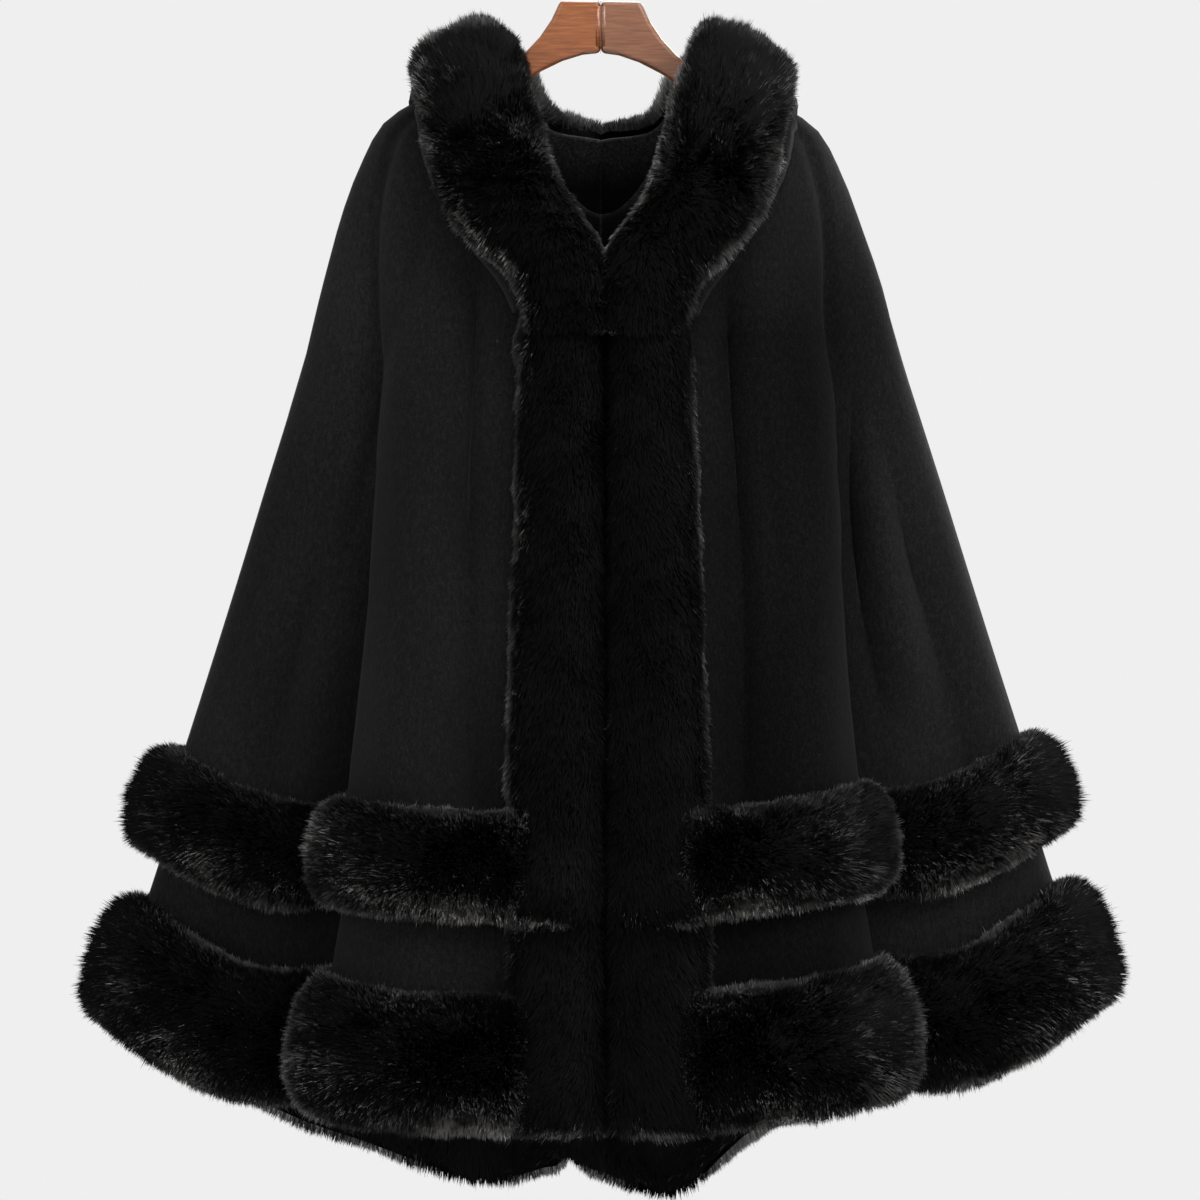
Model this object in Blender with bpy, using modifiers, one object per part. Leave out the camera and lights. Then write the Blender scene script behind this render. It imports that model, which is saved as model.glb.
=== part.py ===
"""Two-tier hooded cape coat of brushed wool with fur edging, hung on a wooden coat hanger.

Metres, +Z up, the front of the cape faces -Y and the wearer's right is at -X. The origin is the inside
of the top of the hanger's hook, where a rail carries it.
"""

import math
from collections import namedtuple

import bmesh
import bpy
import numpy as np
from mathutils import Vector
from mathutils.bvhtree import BVHTree

# Cloth and seams
CLOTH = 0.0025
SEAM_GAP = 0.0004
HANGER_GAP = 0.00015
LAY_GAP = 0.0008
HOOD_LAY_GAP = 0.0016
TIER_GAP_EDGE = 0.0009
TIER_GAP = 0.0070
TIER_GAP_RUN = 0.10
OPEN_FUR = 0.034
MEET_X = 0.004
SHOULDER_ROUNDING = 0.034
TOP_LEAN = 0.018
LEAN_FROM_Z = -0.60
LEAN_FULL_Z = -0.30

# Fur strips
HEM_BAND_OVER = 0.080
HEM_BAND_UNDER = 0.104
HEM_OVERHANG = 0.010
FRONT_BAND = 0.081
FRONT_BAND_STAND = 0.037
STEP_DROP = 0.003
HEM_SPREAD = 0.10
HOOD_SPREAD = 0.09
FRONT_SPREAD = 0.0
FUR_ROUND = 0.62
ARC_STEPS = 7
SOFTENINGS = 3
ARC_SOFTENINGS = 2

# Lower end of the front fur: where its sections stand above the tip, and how much smaller they are
TIP_RISE = 0.024
TIP_ROUND = 0.008
TIP_SIZES = (0.88, 0.55)
TIP_ON_CLOTH = 0.006
OVER_SECTIONS = 9
UNDER_SECTIONS = 4
SOFT_END_SHARES = ((0.0, 0.45), (0.22, 0.80))
SOFT_END_NEXT = 0.6

# Hood
NEAR_SHARES = (0, 0.2, 0.45, 0.7, 0.85, 1)
BELLY_FULL = 0.03
BEHIND_FROM_Y = -0.02
BEHIND_RUN = 0.06
NEAR_LIFT = CLOTH + 0.0022
FOLD_LIFT = 0.0018
NECK_SEATED = 0.0009
RIM_SEATED = 0.0012
FAR_LIFT = NEAR_LIFT + FOLD_LIFT + 0.0035
FOLD_REACH = 0.0030
BACK_LIFT = 0.004
POUCH_REACH = 0.04

# Hanger
ARM_THICK = 0.010
ARM_EDGE = 0.0047
ARM_START_X = 0.080
ARM_START_Z = -0.1210
ARM_SLOPE = 0.53
ARM_END_X = 0.155
HANGER_TOP_Z = -0.0643
HANGER_NECK_HALF = 0.0355
ARCH_TOP_Z = -0.1096
HOOK_WIRE = 0.0040
HOOK_RADIUS = 0.0230
HOOK_STEM = ((0, -0.0639), (0, -0.0575), (0.0006, -0.0515), (0.0055, -0.0455), (0.0125, -0.0400))
HOOK_FROM_DEG = -38
HOOK_SWEEP_DEG = 238
HOOK_STEPS = 16
NECK_BEND = (0.049, -0.100)
ARM_TIP = ((0.009, -0.007), (0.014, -0.016), (0.012, -0.025), (0.003, -0.029))
ARCH_FOOT = (0.0740, -0.1404)
ARCH_BEND_X = 0.030
BEND_SHARES = (0.25, 0.5, 0.75, 1)

# One row for each fold of the cape, in order round the hem from the left front edge to the right one.
# neck, corner and hem are the points where its line leaves the neck seam, turns down off the shoulder
# and ends; over_z is the height of the over tier's hem, bow how far the line hangs inside the straight
# one half way down, fur how far the hem fur stands out, and steps the spans to the next row.
Fold = namedtuple("Fold", "name neck corner hem over_z bow fur steps")
FOLDS = [
    Fold("left_edge", (.0037, -.066, -.300), (.0037, -.078, -.370), (.0037, -.165, -1.028),
         -.853, 0, .038, 3),
    Fold("left_front", (-.046, -.050, -.222), (-.080, -.047, -.250), (-.105, -.172, -1.028),
         -.853, 0, .040, 3),
    Fold("left_fold", (-.065, -.028, -.164), (-.140, -.027, -.175), (-.214, -.168, -1.022),
         -.848, .018, .040, 2),
    Fold("left_fold_side", (-.072, -.019, -.143), (-.166, -.024, -.183), (-.246, -.124, -1.012),
         -.842, .020, .036, 2),
    Fold("left_hollow", (-.0765, -.0115, -.129), (-.180, -.018, -.1845), (-.194, -.076, -1.005),
         -.838, .004, .011, 4),
    Fold("left_gore", (-.0785, -.007, -.122), (-.187, -.012, -.182), (-.312, -.050, -1.016),
         -.848, .004, .036, 4),
    Fold("left_side", (-.080, 0, -.1201), (-.188, 0, -.1773), (-.428, -.006, -.952),
         -.803, .004, .037, 3),
    Fold("left_blade", (-.0775, .008, -.1226), (-.185, .014, -.1825), (-.385, .075, -.980),
         -.815, 0, .040, 2),
    Fold("left_back_hollow", (-.072, .020, -.146), (-.165, .026, -.192), (-.295, .080, -1.040),
         -.850, 0, .024, 3),
    Fold("left_wing_fold", (-.060, .035, -.178), (-.130, .034, -.194), (-.218, .140, -1.078),
         -.868, 0, .038, 3),
    Fold("left_back_fold", (-.036, .053, -.218), (-.070, .050, -.235), (-.098, .164, -1.117),
         -.892, 0, .042, 3),
    Fold("centre_back", (-.005, .062, -.250), (-.010, .072, -.320), (-.027, .130, -1.098),
         -.885, 0, .030, 3),
    Fold("right_back_fold", (.025, .058, -.235), (.055, .055, -.250), (.060, .160, -1.128),
         -.895, 0, .042, 3),
    Fold("right_spine_hollow", (.045, .046, -.205), (.095, .042, -.215), (.135, .098, -1.065),
         -.870, 0, .022, 3),
    Fold("right_wing_fold", (.060, .035, -.178), (.135, .034, -.194), (.215, .150, -1.038),
         -.860, 0, .040, 3),
    Fold("right_back_hollow", (.072, .020, -.146), (.165, .026, -.192), (.290, .080, -1.005),
         -.835, 0, .024, 2),
    Fold("right_blade", (.0775, .008, -.1226), (.185, .014, -.1825), (.388, .072, -.968),
         -.808, 0, .040, 3),
    Fold("right_side", (.080, 0, -.1201), (.188, 0, -.1773), (.428, -.006, -.938),
         -.790, .004, .037, 4),
    Fold("right_gore", (.0785, -.007, -.122), (.187, -.012, -.182), (.316, -.050, -1.004),
         -.836, .004, .036, 4),
    Fold("right_hollow", (.0765, -.0115, -.129), (.180, -.018, -.1845), (.198, -.076, -.993),
         -.826, .004, .011, 2),
    Fold("right_fold_side", (.072, -.019, -.143), (.166, -.024, -.183), (.250, -.124, -1.0),
         -.830, .020, .036, 2),
    Fold("right_fold", (.065, -.028, -.164), (.140, -.027, -.175), (.218, -.168, -1.010),
         -.838, .018, .040, 3),
    Fold("right_front", (.050, -.050, -.222), (.085, -.047, -.250), (.109, -.172, -1.024),
         -.850, 0, .040, 3),
    Fold("right_edge", (.0043, -.066, -.300), (.0043, -.078, -.370), (.0043, -.165, -1.028),
         -.853, 0, .038, 0),
]

# Rows of each cloth line, top to bottom, as the names of their places
ROWS = ["neck", "yoke", "round_in", "round_mid", "round_out", "chest", "waist", "over_band", "over_hem",
        "under_band", "under_hem"]
CHEST_SHARE = 0.33
WAIST_SHARE = 0.70

# One row for each section of the hood, from the throat over the hanger's arm to the middle of the back,
# for x outward. seam is where it leaves the neck, rim its free edge, fold the line where the cloth turns
# back, lean the way the fur stands, stand how far, band how wide it is, belly how far the outer wall
# swells, and steps the spans to the next row.
Hood = namedtuple("Hood", "name seam rim fold lean stand band belly steps")
HOOD = [
    Hood("throat", (0, -.078, -.345), (0, -.078, -.345), (.075, -.076, -.345),
         (0, -1, 0), .033, .070, 0, 2),
    Hood("vee", (.003, -.070, -.305), (.003, -.070, -.305), (.083, -.071, -.326),
         (.05, -1, 0), .035, .074, 0, 3),
    Hood("chest", (.036, -.055, -.250), (.035, -.055, -.250), (.125, -.052, -.270),
         (.15, -1, .15), .038, .086, 0, 3),
    Hood("collar", (.062, -.033, -.182), (.060, -.033, -.180), (.152, -.031, -.213),
         (.15, -.8, .5), .040, .088, 0, 5),
    Hood("before_arm", (.078, -.011, -.125), (.076, -.011, -.121), (.159, -.013, -.166),
         (.08, -.3, 1), .036, .085, 0, 3),
    Hood("arm", (.080, 0, -.118), (.076, 0, -.111), (.161, 0, -.159),
         (.06, 0, 1), .036, .085, 0, 3),
    Hood("behind_arm", (.077, .011, -.128), (.075, .014, -.118), (.163, .015, -.169),
         (.08, .20, 1), .038, .086, .002, 5),
    Hood("nape", (.068, .024, -.155), (.065, .048, -.142), (.168, .060, -.245),
         (.10, .55, .85), .044, .088, .010, 3),
    Hood("blade", (.045, .047, -.208), (.048, .084, -.168), (.142, .092, -.385),
         (.06, .80, .70), .046, .086, .030, 3),
    Hood("spine", (0, .060, -.250), (0, .110, -.176), (0, .120, -.500),
         (0, 1, .25), .042, .084, .045, 0),
]


# Curves and grids

def smooth_through(knots, values, at):
    """Values of a smooth curve through the knots, at the asked places."""
    knots = np.asarray(knots, float)
    values = np.asarray(values, float)
    span = np.diff(knots)
    slope = np.diff(values, axis=0) / span[:, None]
    tangent = np.empty_like(values)
    tangent[0] = slope[0]
    tangent[-1] = slope[-1]
    weight = (span[1:] / (span[:-1] + span[1:]))[:, None]
    tangent[1:-1] = slope[:-1] * weight + slope[1:] * (1 - weight)
    index = np.clip(np.searchsorted(knots, at, side="right") - 1, 0, len(span) - 1)
    width = span[index][:, None]
    t = ((at - knots[index]) / span[index])[:, None]
    return (values[index] * (2 * t**3 - 3 * t**2 + 1) + tangent[index] * width * (t**3 - 2 * t**2 + t)
            + values[index + 1] * (3 * t**2 - 2 * t**3) + tangent[index + 1] * width * (t**3 - t**2))


def stations(rows, places):
    """Knots of the rows by the distance between their places, and the stations between them."""
    places = np.asarray(places, float)
    knots = np.concatenate([[0], np.cumsum(np.linalg.norm(np.diff(places, axis=0), axis=1))])
    at = [knots[0]]
    for i, row in enumerate(rows[:-1]):
        at.extend(knots[i] + (knots[i + 1] - knots[i]) * (k + 1) / row.steps for k in range(row.steps))
    return knots, np.array(at)


def unit(vectors):
    return vectors / np.linalg.norm(vectors, axis=-1, keepdims=True)


def grid_normals(grid):
    """Normals of a grid of points, each the mean of the faces round it."""
    face = unit(np.cross(grid[1:, 1:] - grid[:-1, :-1], grid[:-1, 1:] - grid[1:, :-1]))
    total = np.zeros_like(grid)
    for across in (0, 1):
        for along in (0, 1):
            total[across:len(grid) - 1 + across, along:grid.shape[1] - 1 + along] += face
    return unit(total)


def ease(value):
    value = np.clip(value, 0, 1)
    return value * value * (3 - 2 * value)


def leaned(points):
    """The top of the cape and its hanger hang a little lower on the right."""
    points = np.array(points, float)
    share = ease((points[..., 2] - LEAN_FROM_Z) / (LEAN_FULL_Z - LEAN_FROM_Z))
    points[..., 2] -= TOP_LEAN * points[..., 0] * share
    return points


# Objects

def new_collection(name):
    collection = bpy.data.collections.new(name)
    bpy.context.scene.collection.children.link(collection)
    return collection


def new_material(name, colour, roughness, metallic=0.0):
    material = bpy.data.materials.new(name)
    material.use_nodes = True
    shader = material.node_tree.nodes["Principled BSDF"]
    shader.inputs["Base Color"].default_value = (*colour, 1)
    shader.inputs["Roughness"].default_value = roughness
    shader.inputs["Metallic"].default_value = metallic
    material.diffuse_color = (*colour, 1)
    return material


def add_object(name, data, collection, material):
    obj = bpy.data.objects.new(name, data)
    collection.objects.link(obj)
    data.materials.append(material)
    return obj


def add_mesh(name, points, faces, collection, material):
    mesh = bpy.data.meshes.new(name)
    mesh.from_pydata([tuple(p) for p in points], [], faces)
    mesh.update()
    mesh.shade_smooth()
    return add_object(name, mesh, collection, material)


def grid_faces(columns, rows, turned=0):
    """Faces of a grid; turned moves each face's first corner, which sets how it is split."""
    faces = []
    for i in range(columns - 1):
        for j in range(rows - 1):
            face = (i * rows + j, (i + 1) * rows + j, (i + 1) * rows + j + 1, i * rows + j + 1)
            faces.append(face[turned:] + face[:turned])
    return faces


def add_wall(name, grid, collection, material, turned=0):
    """A cloth wall that grows outward from the grid of its inner face."""
    faces = grid_faces(*grid.shape[:2], turned)
    obj = add_mesh(name, leaned(grid).reshape(-1, 3), faces, collection, material)
    solid = obj.modifiers.new("Wall", "SOLIDIFY")
    solid.thickness = CLOTH
    solid.offset = 1
    return obj


def add_loft(name, sections, collection, material, turned=0):
    """A closed body through a row of closed sections, with flat ends."""
    count, size = sections.shape[:2]
    faces = []
    for i in range(count - 1):
        for j in range(size):
            k = (j + 1) % size
            face = (i * size + j, i * size + k, (i + 1) * size + k, (i + 1) * size + j)
            faces.append(face[turned:] + face[:turned])
    faces.append(tuple(range(size - 1, -1, -1)))
    faces.append(tuple(range((count - 1) * size, count * size)))
    obj = add_mesh(name, leaned(sections).reshape(-1, 3), faces, collection, material)
    shell = bmesh.new()
    shell.from_mesh(obj.data)
    bmesh.ops.recalc_face_normals(shell, faces=shell.faces)
    shell.to_mesh(obj.data)
    shell.free()
    obj.data.set_sharp_from_angle(angle=math.radians(60))
    return obj


# Cape cloth

def cape_grid():
    """Inner face of the under tier, its fur thickness and the station numbers of the rows of FOLDS."""
    hems = np.array([fold.hem for fold in FOLDS])
    knots, at = stations(FOLDS, hems)
    neck = smooth_through(knots, [fold.neck for fold in FOLDS], at)
    corner = smooth_through(knots, [fold.corner for fold in FOLDS], at)
    hem = smooth_through(knots, hems, at)
    extra = smooth_through(knots, [(fold.over_z, fold.bow, fold.fur) for fold in FOLDS], at)
    grid = np.array([cloth_line(*each) for each in zip(neck, corner, hem, extra)])
    first = np.cumsum([0] + [fold.steps for fold in FOLDS[:-1]])
    return grid, extra[:, 2], dict(zip([fold.name for fold in FOLDS], first))


def cloth_line(neck, corner, hem, extra):
    """One line of the cape from neck to hem, turning down at the shoulder."""
    over_z, bow, _ = extra
    up = neck - corner
    down = hem - corner
    start = corner + up * min(SHOULDER_ROUNDING / np.linalg.norm(up), 0.45)
    end = corner + down / np.linalg.norm(down) * min(SHOULDER_ROUNDING, 0.45 * np.linalg.norm(up))
    middle = (start + 2 * corner + end) / 4
    fall = hem - end
    inward = np.array([-math.copysign(bow, hem[0]), 0, 0])
    over = (over_z - end[2]) / fall[2]
    length = np.linalg.norm(fall)
    shares = [CHEST_SHARE * over, WAIST_SHARE * over, over - HEM_BAND_OVER / length, over,
              1 - HEM_BAND_UNDER / length, 1]
    line = [neck, (neck + start) / 2, start, middle, end]
    line += [end + fall * share + inward * math.sin(math.pi * share) for share in shares]
    return np.array(line)


def over_grid(under, outward, fur):
    """Inner face of the over tier: the under tier's points moved out, less where it folds in."""
    rows = ROWS.index("over_hem") + 1
    inner = under[:, :rows]
    across = np.linalg.norm(np.diff(inner[:, -1], axis=0), axis=1)
    from_left = np.concatenate([[0], np.cumsum(across)])
    from_edge = np.minimum(from_left, from_left[-1] - from_left)
    fallen = np.linalg.norm(inner - inner[:, :1], axis=2) / TIER_GAP_RUN
    open_cloth = ease(from_edge / TIER_GAP_RUN) * np.minimum(fur / OPEN_FUR, 1)
    room = open_cloth[:, None] * ease(fallen - 0.5)
    lift = CLOTH + TIER_GAP_EDGE + (TIER_GAP - TIER_GAP_EDGE) * room
    return inner + outward[:, :rows] * lift[..., None]


def panel(grid, first, last):
    """The columns of one panel, drawn in a little at both sides to leave the seams open."""
    part = grid[first:last + 1].copy()
    for edge, neighbour in ((0, 1), (-1, -2)):
        part[edge] += unit(part[neighbour] - part[edge]) * SEAM_GAP
    return part


# Fur strips

def roll_section(base, out, stand, spread):
    """Base points along the cloth, then an arc of fur back over them."""
    base = np.asarray(base)
    middle = (base[0] + base[-1]) / 2
    half = (base[-1] - base[0]) / 2
    arc = []
    for step in range(1, ARC_STEPS):
        angle = math.pi * step / ARC_STEPS
        reach = math.cos(angle) * (1 + spread * math.sin(angle))
        arc.append(middle + half * reach + out * stand * math.sin(angle) ** FUR_ROUND)
    return np.vstack([base, arc])


def hem_roll(grid, outward, band_row, hem_row, fur, first, last, ends):
    """Sections of a hem fur from column to column; ends says flat or round, and a limit in x or None."""
    band = grid[first:last + 1, band_row]
    hem = grid[first:last + 1, hem_row]
    out = outward[first:last + 1, hem_row]
    stand = fur[first:last + 1].copy()
    rise = unit(band - hem)
    top = band + out * (CLOTH + LAY_GAP)
    low = hem + out * (CLOTH + LAY_GAP) - rise * HEM_OVERHANG
    soft = out.copy()
    for _ in range(SOFTENINGS):
        soft[1:-1] = unit(soft[:-2] + 2 * soft[1:-1] + soft[2:])
    sections = np.array([roll_section([top[i], low[i]], soft[i], stand[i], HEM_SPREAD)
                         for i in range(len(top))])
    for _ in range(ARC_SOFTENINGS):
        sections[1:-1, 2:] = (sections[:-2, 2:] + 2 * sections[1:-1, 2:] + sections[2:, 2:]) / 4
    sections = list(sections)
    for end, (kind, limit) in zip((0, -1), ends):
        step = 1 if end == 0 else -2
        if limit is not None:
            sections = cut_at_x(sections, limit, end)
        sections[end] = sections[end] + unit(sections[step] - sections[end]) * SEAM_GAP
        if kind == "round":
            sections = rounded_end(sections, end)
    return np.array(sections)


def cut_at_x(sections, limit, end):
    """Drops the sections past a plane of constant x, and ends on that plane."""
    ordered = sections if end == 0 else sections[::-1]
    side = math.copysign(1, limit)
    while np.all(ordered[1][:, 0] * side < limit * side):
        ordered = ordered[1:]
    head, following = ordered[0], ordered[1]
    share = (limit - head[:, 0]) / (following[:, 0] - head[:, 0])
    ordered = [head + (following - head) * share[:, None]] + list(ordered[1:])
    return ordered if end == 0 else ordered[::-1]


def rounded_end(sections, end):
    """Closes a strip with a soft end: two smaller sections near the last one."""
    ordered = sections if end == 0 else sections[::-1]
    head, following = ordered[0], ordered[1]
    blunt = []
    for share, size in SOFT_END_SHARES:
        section = head + (following - head) * share
        centre = (section[0] + section[1]) / 2
        blunt.append(centre + (section - centre) * size)
    ordered = blunt + [head + (following - head) * SOFT_END_NEXT] + list(ordered[1:])
    return ordered if end == 0 else ordered[::-1]


class Laid:
    """Finds places on the outer face of a cloth grid."""

    def __init__(self, grid):
        columns, rows = grid.shape[:2]
        faces = grid_faces(columns, rows)
        self.tree = BVHTree.FromPolygons([Vector(p) for p in grid.reshape(-1, 3)], faces)

    def on(self, point, lift):
        place, normal, _, _ = self.tree.find_nearest(Vector(point))
        return np.array(place + normal * lift)

    def clear(self, point, lift):
        place, normal, _, distance = self.tree.find_nearest(Vector(point))
        height = (Vector(point) - place).dot(normal)
        if height < lift and distance < POUCH_REACH:
            return np.array(place + normal * lift)
        return np.array(point, float)


def front_roll(side, over, under, over_hem_z):
    """Sections of the band down one front edge, from below the throat to the hem."""
    top_z = HOOD[0].rim[2] - SEAM_GAP
    low_z = FOLDS[0].hem[2] - HEM_OVERHANG
    on_over = np.linspace(top_z, over_hem_z - STEP_DROP, OVER_SECTIONS)
    on_under = np.linspace(over_hem_z - 3 * STEP_DROP, low_z + TIP_RISE, UNDER_SECTIONS)
    heights = np.concatenate([on_over, on_under, [low_z + TIP_ROUND, low_z]])
    sizes = np.ones(len(heights))
    sizes[-2:] = TIP_SIZES
    inner = MEET_X + side * SEAM_GAP
    outer = MEET_X + side * FRONT_BAND
    sections = []
    for z, size in zip(heights, sizes):
        cloth = over if z > over_hem_z - 2 * STEP_DROP else under
        reached = max(z, FOLDS[0].hem[2] + TIP_ON_CLOTH)
        base = []
        for share in (0, 0.5, 1):
            place = cloth.on((inner + (outer - inner) * share, -0.3, reached), LAY_GAP)
            place[0] = inner + (outer - inner) * share
            place[2] = z
            base.append(place)
        sections.append(roll_section(base, np.array([0, -1, 0]), FRONT_BAND_STAND * size, FRONT_SPREAD))
    return np.array(sections)


# Hood

def hood_grid(side, cape):
    """Inside face of one half of the hood, and where its fur stands on it."""
    signs = np.array([side, 1, 1])
    shift = np.array([MEET_X, 0, 0])
    knots, at = stations(HOOD, [row.fold for row in HOOD])
    seam, rim, fold, lean = (smooth_through(knots, [getattr(row, key) for row in HOOD], at) * signs
                             for key in ("seam", "rim", "fold", "lean"))
    extra = smooth_through(knots, [(row.stand, row.band, row.belly) for row in HOOD], at)
    behind = ease((seam[:, 1] - BEHIND_FROM_Y) / BEHIND_RUN)
    middle = shift * (1 - behind[:, None]) + np.array([side * SEAM_GAP, 0, 0])
    seam, rim, fold = seam + middle, rim + middle, fold + middle
    each = zip(seam, rim, fold, unit(lean), extra[:, 1], extra[:, 2])
    lines = [hood_line(*row, cape) for row in each]
    return np.array(lines), unit(lean), extra[:, 0]


def hood_line(seam, rim, fold, lean, band, belly, cape):
    """One line of the hood: out from the neck seam over the cape, round the fold and back to the rim."""
    free = BACK_LIFT * ease(belly / BELLY_FULL)
    near = []
    for share in NEAR_SHARES:
        lift = NEAR_LIFT + FOLD_LIFT * share + free * 4 * share * (1 - share)
        if share == 0:
            lift -= NECK_SEATED
        near.append(cape.on(seam + (fold - seam) * share, lift))
    outward = unit(fold - seam)
    turn = cape.on(fold, (NEAR_LIFT + FAR_LIFT) / 2) + outward * FOLD_REACH
    length = np.linalg.norm(fold - rim)
    rest = (band + length) / 2
    far = []
    for reach in (length, rest, band, band * 2 / 3, band / 3, 0):
        share = reach / length
        place = rim + (fold - rim) * share + lean * belly * 4 * share * (1 - share)
        far.append(cape.clear(place, FAR_LIFT))
    return np.array(near + [turn] + far)


def hood_roll(grid, outward, lean, stand):
    """Sections of the fur on the hood's edge, laid on the outside of its outer wall."""
    base = grid[:, -4:] + outward[:, -4:] * (CLOTH + HOOD_LAY_GAP)
    towards_spine = ease(np.linspace(-1, 1, len(grid)))[:, None]
    base[:, -1] -= outward[:, -1] * RIM_SEATED * towards_spine
    return np.array([roll_section(base[i], lean[i], stand[i], HOOD_SPREAD) for i in range(len(grid))])


# Hanger

def arm_top(x):
    return ARM_START_Z - ARM_SLOPE * (abs(x) - ARM_START_X)


def bend_points(start, bend, end):
    """Points after the start of a curve that leaves towards bend and comes to the end from it."""
    start, bend, end = np.array(start), np.array(bend), np.array(end)
    return [tuple(start * (1 - share) ** 2 + bend * 2 * share * (1 - share) + end * share**2)
            for share in BEND_SHARES]


def hanger_outline(side):
    """Half of the hanger seen from the front, from the joint at the middle out along the arm and back."""
    neck_top = (HANGER_NECK_HALF, HANGER_TOP_Z)
    tip = (ARM_END_X, arm_top(ARM_END_X))
    round_tip = [(tip[0] + x, tip[1] + z) for x, z in ARM_TIP]
    neck = bend_points(neck_top, NECK_BEND, (ARM_START_X, arm_top(ARM_START_X)))
    arch = bend_points(ARCH_FOOT, (ARCH_BEND_X, ARCH_TOP_Z), (0, ARCH_TOP_Z))
    outline = [(0, HANGER_TOP_Z), neck_top] + neck + [tip] + round_tip + [ARCH_FOOT] + arch
    return [(side * (x + HANGER_GAP), z) for x, z in outline]


def add_hanger_half(name, side, collection, material):
    curve = bpy.data.curves.new(name, "CURVE")
    curve.dimensions = "2D"
    curve.fill_mode = "BOTH"
    curve.extrude = ARM_THICK / 2
    outline = hanger_outline(side)
    heights = leaned([(x, 0, z) for x, z in outline])[:, 2]
    spline = curve.splines.new("POLY")
    spline.points.add(len(outline) - 1)
    for point, (x, _), z in zip(spline.points, outline, heights):
        point.co = (x, z, 0, 1)
    spline.use_cyclic_u = True
    obj = add_object(name, curve, collection, material)
    obj.rotation_euler = (math.pi / 2, 0, 0)
    weld = obj.modifiers.new("Weld", "WELD")
    weld.merge_threshold = 0.00001
    edge = obj.modifiers.new("Edge", "BEVEL")
    edge.width = ARM_EDGE
    edge.segments = 3
    edge.limit_method = "ANGLE"
    edge.angle_limit = math.radians(60)
    return obj


def add_hook(name, collection, material):
    """Wire hook: up out of the hanger, out to the right, over the top and down to a free end."""
    centre_z = HOOK_WIRE / 2 - HOOK_RADIUS
    points = list(HOOK_STEM)
    for step in range(HOOK_STEPS + 1):
        angle = math.radians(HOOK_FROM_DEG + HOOK_SWEEP_DEG * step / HOOK_STEPS)
        points.append((HOOK_RADIUS * math.cos(angle), centre_z + HOOK_RADIUS * math.sin(angle)))
    curve = bpy.data.curves.new(name, "CURVE")
    curve.dimensions = "3D"
    curve.bevel_depth = HOOK_WIRE / 2
    curve.bevel_resolution = 2
    curve.use_fill_caps = True
    spline = curve.splines.new("POLY")
    spline.points.add(len(points) - 1)
    for point, (x, z) in zip(spline.points, points):
        point.co = (x, 0, z, 1)
    return add_object(name, curve, collection, material)


def build():
    for obj in list(bpy.data.objects):
        bpy.data.objects.remove(obj, do_unlink=True)
    cape = new_collection("hooded_cape_coat")

    def wool(name):
        return new_material(name + "_wool", (0.014, 0.014, 0.016), 0.92)

    def fur(name):
        return new_material(name + "_fur", (0.006, 0.006, 0.007), 0.75)

    grid, stand, at = cape_grid()
    outward = grid_normals(grid)
    last = len(grid) - 1
    over = over_grid(grid, outward, stand)
    over_out = grid_normals(over)
    spans = {"front_left": (0, at["left_side"]), "back": (at["left_side"], at["right_side"]),
             "front_right": (at["right_side"], last)}
    for part, (first, final) in spans.items():
        turned = int(part == "front_right")
        for name, inner in (("under_" + part, grid), ("over_" + part, over)):
            add_wall(name, panel(inner, first, final), cape, wool(name), turned)

    edge_left = MEET_X - FRONT_BAND - SEAM_GAP
    edge_right = MEET_X + FRONT_BAND + SEAM_GAP
    seam = ("flat", None)
    soft = ("round", None)
    by_left_band = ("flat", edge_left)
    by_right_band = ("flat", edge_right)
    spans["back_left"] = (at["left_side"], at["centre_back"])
    spans["back_right"] = (at["centre_back"], at["right_side"])
    strips = [
        ("over", "front_left", "over_hem_fur_left", by_left_band, seam),
        ("over", "back", "over_hem_fur_back", seam, seam),
        ("over", "front_right", "over_hem_fur_right", seam, by_right_band),
        ("under", "front_left", "under_hem_fur_left", by_left_band, seam),
        ("under", "back_left", "under_hem_fur_back_left", seam, soft),
        ("under", "back_right", "under_hem_fur_back_right", soft, seam),
        ("under", "front_right", "under_hem_fur_right", seam, by_right_band),
    ]
    tiers = {"over": (over, over_out), "under": (grid, outward)}
    for tier, span, name, *ends in strips:
        rows = ROWS.index(tier + "_band"), ROWS.index(tier + "_hem")
        strip = hem_roll(*tiers[tier], *rows, stand, *spans[span], ends)
        add_loft(name, strip, cape, fur(name), turned=int(span == "front_right"))

    on_over = Laid(over + over_out * CLOTH)
    on_under = Laid(grid + outward * CLOTH)
    over_hem_z = FOLDS[0].over_z
    for side, label in ((-1, "left"), (1, "right")):
        name = "front_fur_" + label
        add_loft(name, front_roll(side, on_over, on_under, over_hem_z), cape, fur(name))
        hood, lean, rise = hood_grid(side, on_over)
        away = grid_normals(hood) * side
        wall = hood[::-1] if side < 0 else hood
        add_wall("hood_" + label, wall, cape, wool("hood_" + label))
        name = "hood_fur_" + label
        add_loft(name, hood_roll(hood, away, lean, rise), cape, fur(name))

    bright_wood = new_material("hanger_left_wood", (0.40, 0.10, 0.022), 0.32)
    dull_wood = new_material("hanger_right_wood", (0.22, 0.075, 0.030), 0.36)
    add_hanger_half("hanger_left", -1, cape, bright_wood)
    add_hanger_half("hanger_right", 1, cape, dull_wood)
    add_hook("hanger_hook", cape, new_material("hanger_hook_steel", (0.62, 0.62, 0.63), 0.25, 1.0))


build()
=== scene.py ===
"""Looks of the two-tier hooded cape coat on its hanger: creased cloth, fur, wood and steel."""

import math
from collections import namedtuple

import bpy
import numpy as np
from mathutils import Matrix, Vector
from mathutils.bvhtree import BVHTree


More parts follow.
